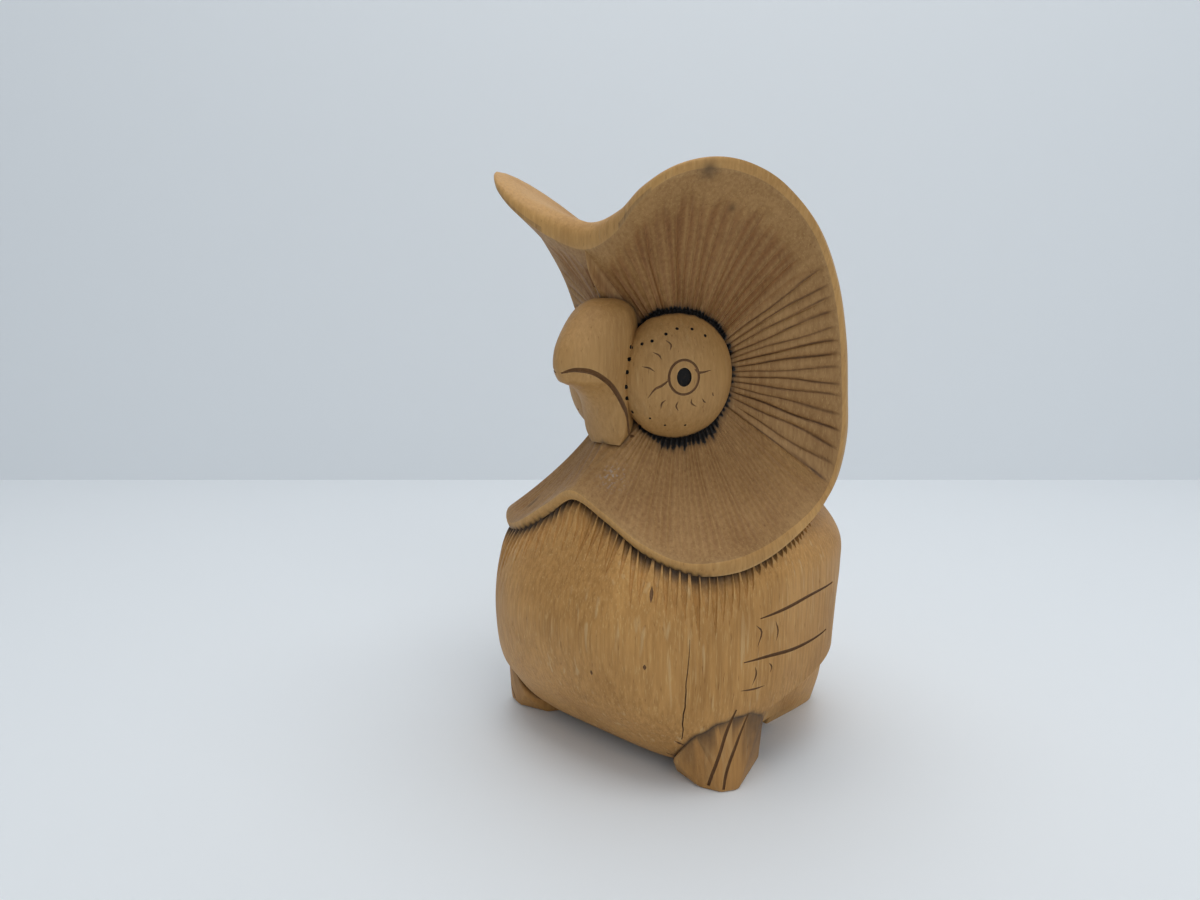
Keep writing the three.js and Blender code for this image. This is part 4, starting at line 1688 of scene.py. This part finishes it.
@dataclass(frozen=True)
class WoodFinish:
    """How one area of the wood looks, with painted shade in its hollows and creases and a painted
    highlight on its crests.
    """

    finish: Finish
    light: Point
    dark: Point
    streaks: float = 0.55
    blotches: float = 0.5
    flecks: float = 0.25
    marks: float = 0.0
    # How strongly painted shade darkens the flute valleys, the slits, the creases between parts and
    # the belly under the bib's edge.
    valley: float = 0.0
    slit: float = 0.0
    crease: float = 0.8
    fringe: float = 0.0
    # How much proud crests and edges are lightened: a painted highlight.
    crest_highlight: float = 0.35
    # The colour that darkens the flute valleys: painted shade in the hollows.
    valley_shade: Point = (0.66, 0.52, 0.4)
    bump: float = 0.00011
    # The dark colour of the painted shade in slits, creases and under the bib, and of the real
    # stains.
    shade_stain_colour: Point = (0.06, 0.032, 0.014)

    def dress(self, groups: dict[str, bpy.types.NodeTree]) -> bpy.types.Material:
        """Builds the material.

        Args:
            groups: the shared effects by name.

        Returns:
            The material.
        """
        material = finish_material(self.finish)
        material.use_nodes = True
        tree = material.node_tree
        tree.nodes.clear()
        g = Graph(tree)
        place = g.add("TexCoord").outputs["Object"]

        def group(name: str, inputs: dict) -> bpy.types.Node:
            node = g.add("Group", None, node_tree=groups[name])
            for socket, value in inputs.items():
                if isinstance(value, bpy.types.NodeSocket):
                    tree.links.new(value, node.inputs[socket])
                else:
                    node.inputs[socket].default_value = value
            return node

        timber = group(
            "timber",
            {"Vector": place, "Light": (*self.light, 1), "Dark": (*self.dark, 1),
             "Streaks": self.streaks, "Blotches": self.blotches, "Flecks": self.flecks},
        )
        colour, height = timber.outputs["Colour"], timber.outputs["Height"]
        if self.marks:
            marks = group(
                "blade_marks",
                {"Vector": place, "Colour": colour, "Pale": (0.62, 0.42, 0.2, 1),
                 "Amount": self.marks},
            )
            colour = marks.outputs["Colour"]
            height = g.math("MULTIPLY_ADD", marks.outputs["Height"], 0.6, height)
        # Proud crests and edges are lightened: a painted highlight.
        proud = g.ramp(g.mask(Mask.EDGE), 0.55, 0.8)
        colour = g.blend(
            "MIX", g.math("MULTIPLY", proud, self.crest_highlight), colour, (0.6, 0.39, 0.17, 1)
        )
        # The flute valleys are darkened: painted shade.
        if self.valley:
            low = g.math("MULTIPLY", g.mask(Mask.VALLEY), self.valley)
            colour = g.blend("MULTIPLY", low, colour, (*self.valley_shade, 1))
        # Painted shade in the slits, the creases between parts and under the bib's edge, and the
        # real stains.
        for mask, amount in (
            (Mask.SLIT, self.slit), (Mask.CREASE, self.crease), (Mask.FRINGE, self.fringe),
            (Mask.STAIN, 0.8),
        ):
            if amount:
                darkened = group(
                    "shade_and_stain",
                    {"Vector": place, "Colour": colour, "Darkening": (*self.shade_stain_colour, 1),
                     "Mask": g.mask(mask), "Amount": amount},
                )
                colour = darkened.outputs["Colour"]
        dusty = group(
            "dust",
            {"Vector": place, "Colour": colour, "Dust": (0.42, 0.42, 0.42, 1),
             "Mask": g.mask(Mask.DUST)},
        )
        burnt = group(
            "scorch",
            {"Vector": place, "Colour": dusty.outputs["Colour"], "Char": (0.008, 0.006, 0.005, 1),
             "Mask": g.mask(Mask.BURN)},
        )
        bump = g.add(
            "Bump", {"Strength": 1.0, "Distance": self.bump, "Height": height}
        ).outputs[0]
        shader = g.add(
            "BsdfPrincipled",
            {"Base Color": burnt.outputs["Colour"], "Roughness": timber.outputs["Roughness"],
             "Normal": bump, "Specular IOR Level": 0.38},
        )
        out = g.add("OutputMaterial")
        tree.links.new(shader.outputs[0], out.inputs[0])
        return material


@dataclass(frozen=True)
class CharFinish:
    """Wood that a hot iron has blackened."""

    finish: Finish
    roughness: float = 0.7

    def dress(self, groups: dict[str, bpy.types.NodeTree]) -> bpy.types.Material:
        """Builds the material."""
        material = finish_material(self.finish)
        material.use_nodes = True
        tree = material.node_tree
        tree.nodes.clear()
        g = Graph(tree)
        place = g.add("TexCoord").outputs["Object"]
        crumbs = g.add("TexNoise", {"Vector": place, "Scale": 1500.0, "Detail": 3.0})
        level = g.ramp(crumbs.outputs["Fac"], 0.5, 0.8)
        colour = g.blend("MIX", level, (0.006, 0.0045, 0.004, 1), (0.035, 0.02, 0.01, 1))
        bump = g.add(
            "Bump", {"Strength": 1.0, "Distance": 0.0001, "Height": crumbs.outputs["Fac"]}
        ).outputs[0]
        shader = g.add(
            "BsdfPrincipled",
            {"Base Color": colour, "Roughness": self.roughness, "Normal": bump,
             "Specular IOR Level": 0.25},
        )
        out = g.add("OutputMaterial")
        tree.links.new(shader.outputs[0], out.inputs[0])
        return material


BELLY_TONES = ((0.56, 0.29, 0.085), (0.34, 0.16, 0.038))
WOODS = (
    WoodFinish(Finish.BODY, *BELLY_TONES, 0.5, 0.45, 0.5, marks=0.45, crease=1.0, fringe=0.15),
    WoodFinish(Finish.GOUGE, *BELLY_TONES, 0.5, 0.45, 0.5, marks=0.3, fringe=1.1),
    WoodFinish(Finish.DISH, (0.42, 0.235, 0.085), (0.27, 0.135, 0.042), 0.55, 0.5, 0.3,
               valley=1.0, slit=0.9, crease=0.6),
    WoodFinish(Finish.HOOD, (0.56, 0.31, 0.1), (0.36, 0.18, 0.05), 0.4, 0.5, 0.25, marks=0.15),
    WoodFinish(Finish.FACE, (0.48, 0.265, 0.09), (0.3, 0.15, 0.042), 0.35, 0.5, 0.2, marks=0.1),
    WoodFinish(Finish.FOOT, (0.5, 0.25, 0.07), (0.31, 0.14, 0.034), 0.45, 0.4, 0.2, marks=0.1),
    # The faces inside the knife cuts are dark: painted shade in the narrow cuts.
    WoodFinish(Finish.CUT, (0.2, 0.095, 0.034), (0.12, 0.055, 0.02), 0.5, 0.4, 0.1, crest_highlight=0.1,
               crease=0.0),
)


@dataclass
class Owl:
    """The whole carving."""

    hood: Hood = field(default_factory=Hood)
    body: Body = field(default_factory=Body)
    beak: Beak = field(default_factory=Beak)
    eye: Eye = field(default_factory=Eye)
    base: Base = field(default_factory=Base)
    face_cuts: FaceCuts = field(default_factory=FaceCuts)
    scorching: Scorching = field(default_factory=Scorching)
    body_cuts: BodyCuts = field(default_factory=BodyCuts)
    dressing: Dressing = field(default_factory=Dressing)
    sharp_angle: float = 40.0

    def carved(self) -> bpy.types.Object:
        """Joins the solids, cuts the fine work and writes the masks."""
        piece = self.body.made()
        piece.name = "owl_carving"
        carver = Carver(piece)
        carver.apply([self.base.cove(side) for side in (0, 1)], "DIFFERENCE")
        carver.survey()
        fringe = []
        for side in (0, 1):
            fringe += batches(carver, self.body_cuts.fringe(self.hood, side), 2)
        carver.apply(fringe, "DIFFERENCE")
        left_eye = self.eye.shell()
        solids = [self.base.foot(side) for side in (0, 1)]
        solids += [
            self.base.tail(),
            left_eye.made("eye_0", Finish.FACE),
            left_eye.mirrored().made("eye_1", Finish.FACE),
            self.hood.made(),
            self.beak.made(),
        ]
        carver.apply(solids, "UNION")
        carver.survey()
        cuts = []
        for side in (0, 1):
            cuts += batches(carver, self.scorching.marks(self.hood, self.eye, side), 3)
            cuts.append(self.face_cuts.pupil_tool(side))
            cuts += batches(carver, self.face_cuts.strokes(side), 3)
            cuts += batches(carver, self.face_cuts.dots(side), 2)
            cuts += batches(carver, self.body_cuts.strokes(side), 2)
        cuts += batches(carver, self.body_cuts.flaws(), 1)
        carver.apply(cuts, "DIFFERENCE")
        carver.clear_crumbs()
        carver.keep_in_box()
        mesh = piece.data
        mesh.shade_smooth()
        mesh.set_sharp_from_angle(angle=math.radians(self.sharp_angle))
        self.dressing.dress(mesh, self.hood)
        return piece


@dataclass
class Studio:
    """A pale surface, a plain wall, soft light, and the camera at the photograph's angle."""

    camera_at: Point = (130.9, -160.0, 97.0)
    heading: float = 44.0
    pitch: float = 10.0
    # In pixels of a picture 1200 wide.
    focal_pixels: float = 945.0
    picture_width: float = 1200.0
    sensor: float = 36.0
    wall_distance: float = 464.0
    paper: Point = (0.80, 0.83, 0.86)
    sky: Point = (0.80, 0.87, 0.93)
    sky_strength: float = 0.5

    def camera(self) -> bpy.types.Object:
        """Places the camera."""
        data = bpy.data.cameras.new("camera")
        data.sensor_width = self.sensor
        data.lens = self.focal_pixels / self.picture_width * self.sensor
        data.clip_start = 0.01
        camera = bpy.data.objects.new("camera", data)
        x, y, z = self.camera_at
        camera.location = Vector((x, y + AXIS_Y, z)) * METRES
        camera.rotation_euler = (math.radians(90 - self.pitch), 0, math.radians(self.heading))
        bpy.context.scene.collection.objects.link(camera)
        bpy.context.scene.camera = camera
        return camera

    def sheet(self, name: str, corners: list[Point]) -> bpy.types.Object:
        """Makes a flat stage piece of plain paper."""
        mesh = bpy.data.meshes.new(name)
        mesh.from_pydata(corners, [], [(0, 1, 2, 3)])
        paper = bpy.data.materials.get("paper") or bpy.data.materials.new("paper")
        paper.use_nodes = True
        shader = paper.node_tree.nodes["Principled BSDF"]
        shader.inputs["Base Color"].default_value = (*self.paper, 1)
        shader.inputs["Roughness"].default_value = 0.6
        mesh.materials.append(paper)
        piece = bpy.data.objects.new(name, mesh)
        bpy.context.scene.collection.objects.link(piece)
        piece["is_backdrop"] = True
        return piece

    def stage(self) -> None:
        """Makes the surface that the owl stands on and the wall behind it."""
        turn = math.radians(self.heading)
        ahead = np.array([-math.sin(turn), math.cos(turn), 0])
        right = np.array([math.cos(turn), math.sin(turn), 0])
        camera = np.array(self.camera_at) + np.array([0, AXIS_Y, 0])
        foot = (camera * np.array([1, 1, 0]) + ahead * self.wall_distance) * METRES
        reach = 2.5
        up = np.array([0, 0, 1.6])
        near = foot - ahead * reach
        self.sheet("floor", [tuple(p) for p in (
            near - right * reach, near + right * reach, foot + right * reach, foot - right * reach)])
        self.sheet("wall", [tuple(p) for p in (
            foot - right * reach, foot + right * reach,
            foot + right * reach + up, foot - right * reach + up)])

    def light(self, name: str, at: Point, size: float, power: float, colour: Point) -> None:
        """Hangs a square lamp that looks at the owl."""
        data = bpy.data.lights.new(name, "AREA")
        data.size = size
        data.energy = power
        data.color = colour
        lamp = bpy.data.objects.new(name, data)
        lamp.location = at
        aim = Vector((0, 0, 0.06)) - Vector(at)
        lamp.rotation_mode = "QUATERNION"
        lamp.rotation_quaternion = aim.to_track_quat("-Z", "Y")
        bpy.context.scene.collection.objects.link(lamp)

    def lights(self) -> None:
        """Sets the soft light."""
        world = bpy.data.worlds.new("room")
        world.use_nodes = True
        background = world.node_tree.nodes["Background"]
        background.inputs["Color"].default_value = (*self.sky, 1)
        background.inputs["Strength"].default_value = self.sky_strength
        bpy.context.scene.world = world
        self.light("ceiling", (0.05, 0.0, 0.75), 0.6, 2.6, (1.0, 0.97, 0.93))
        self.light("window", (0.75, -0.35, 0.5), 0.5, 1.2, (0.95, 0.98, 1.0))
        bpy.context.scene.view_settings.view_transform = "Standard"


def main() -> None:
    """Makes the carving and its stage."""
    logging.basicConfig(level=logging.INFO, format="%(name)s: %(message)s")
    makers = (timber_group, scratch_group, shade_and_stain_group, scorch_group, dust_group)
    groups = {group.name: group for group in (maker() for maker in makers)}
    studio = Studio()
    studio.camera()
    studio.stage()
    studio.lights()
    for wood in (*WOODS, CharFinish(Finish.SCORCH), CharFinish(Finish.PUPIL)):
        log.info("finish %s", wood.dress(groups).name)
    carving = Owl().carved()
    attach(carving, "root")
    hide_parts("carved_owl")
    log.info("%s: %d vertices", carving.name, len(carving.data.vertices))
    boxes = {"cad": CAD_BOX, "visual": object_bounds()}
    {name: [list(corner) for corner in box] for name, box in boxes.items()}


if __name__ == "__main__":
    main()
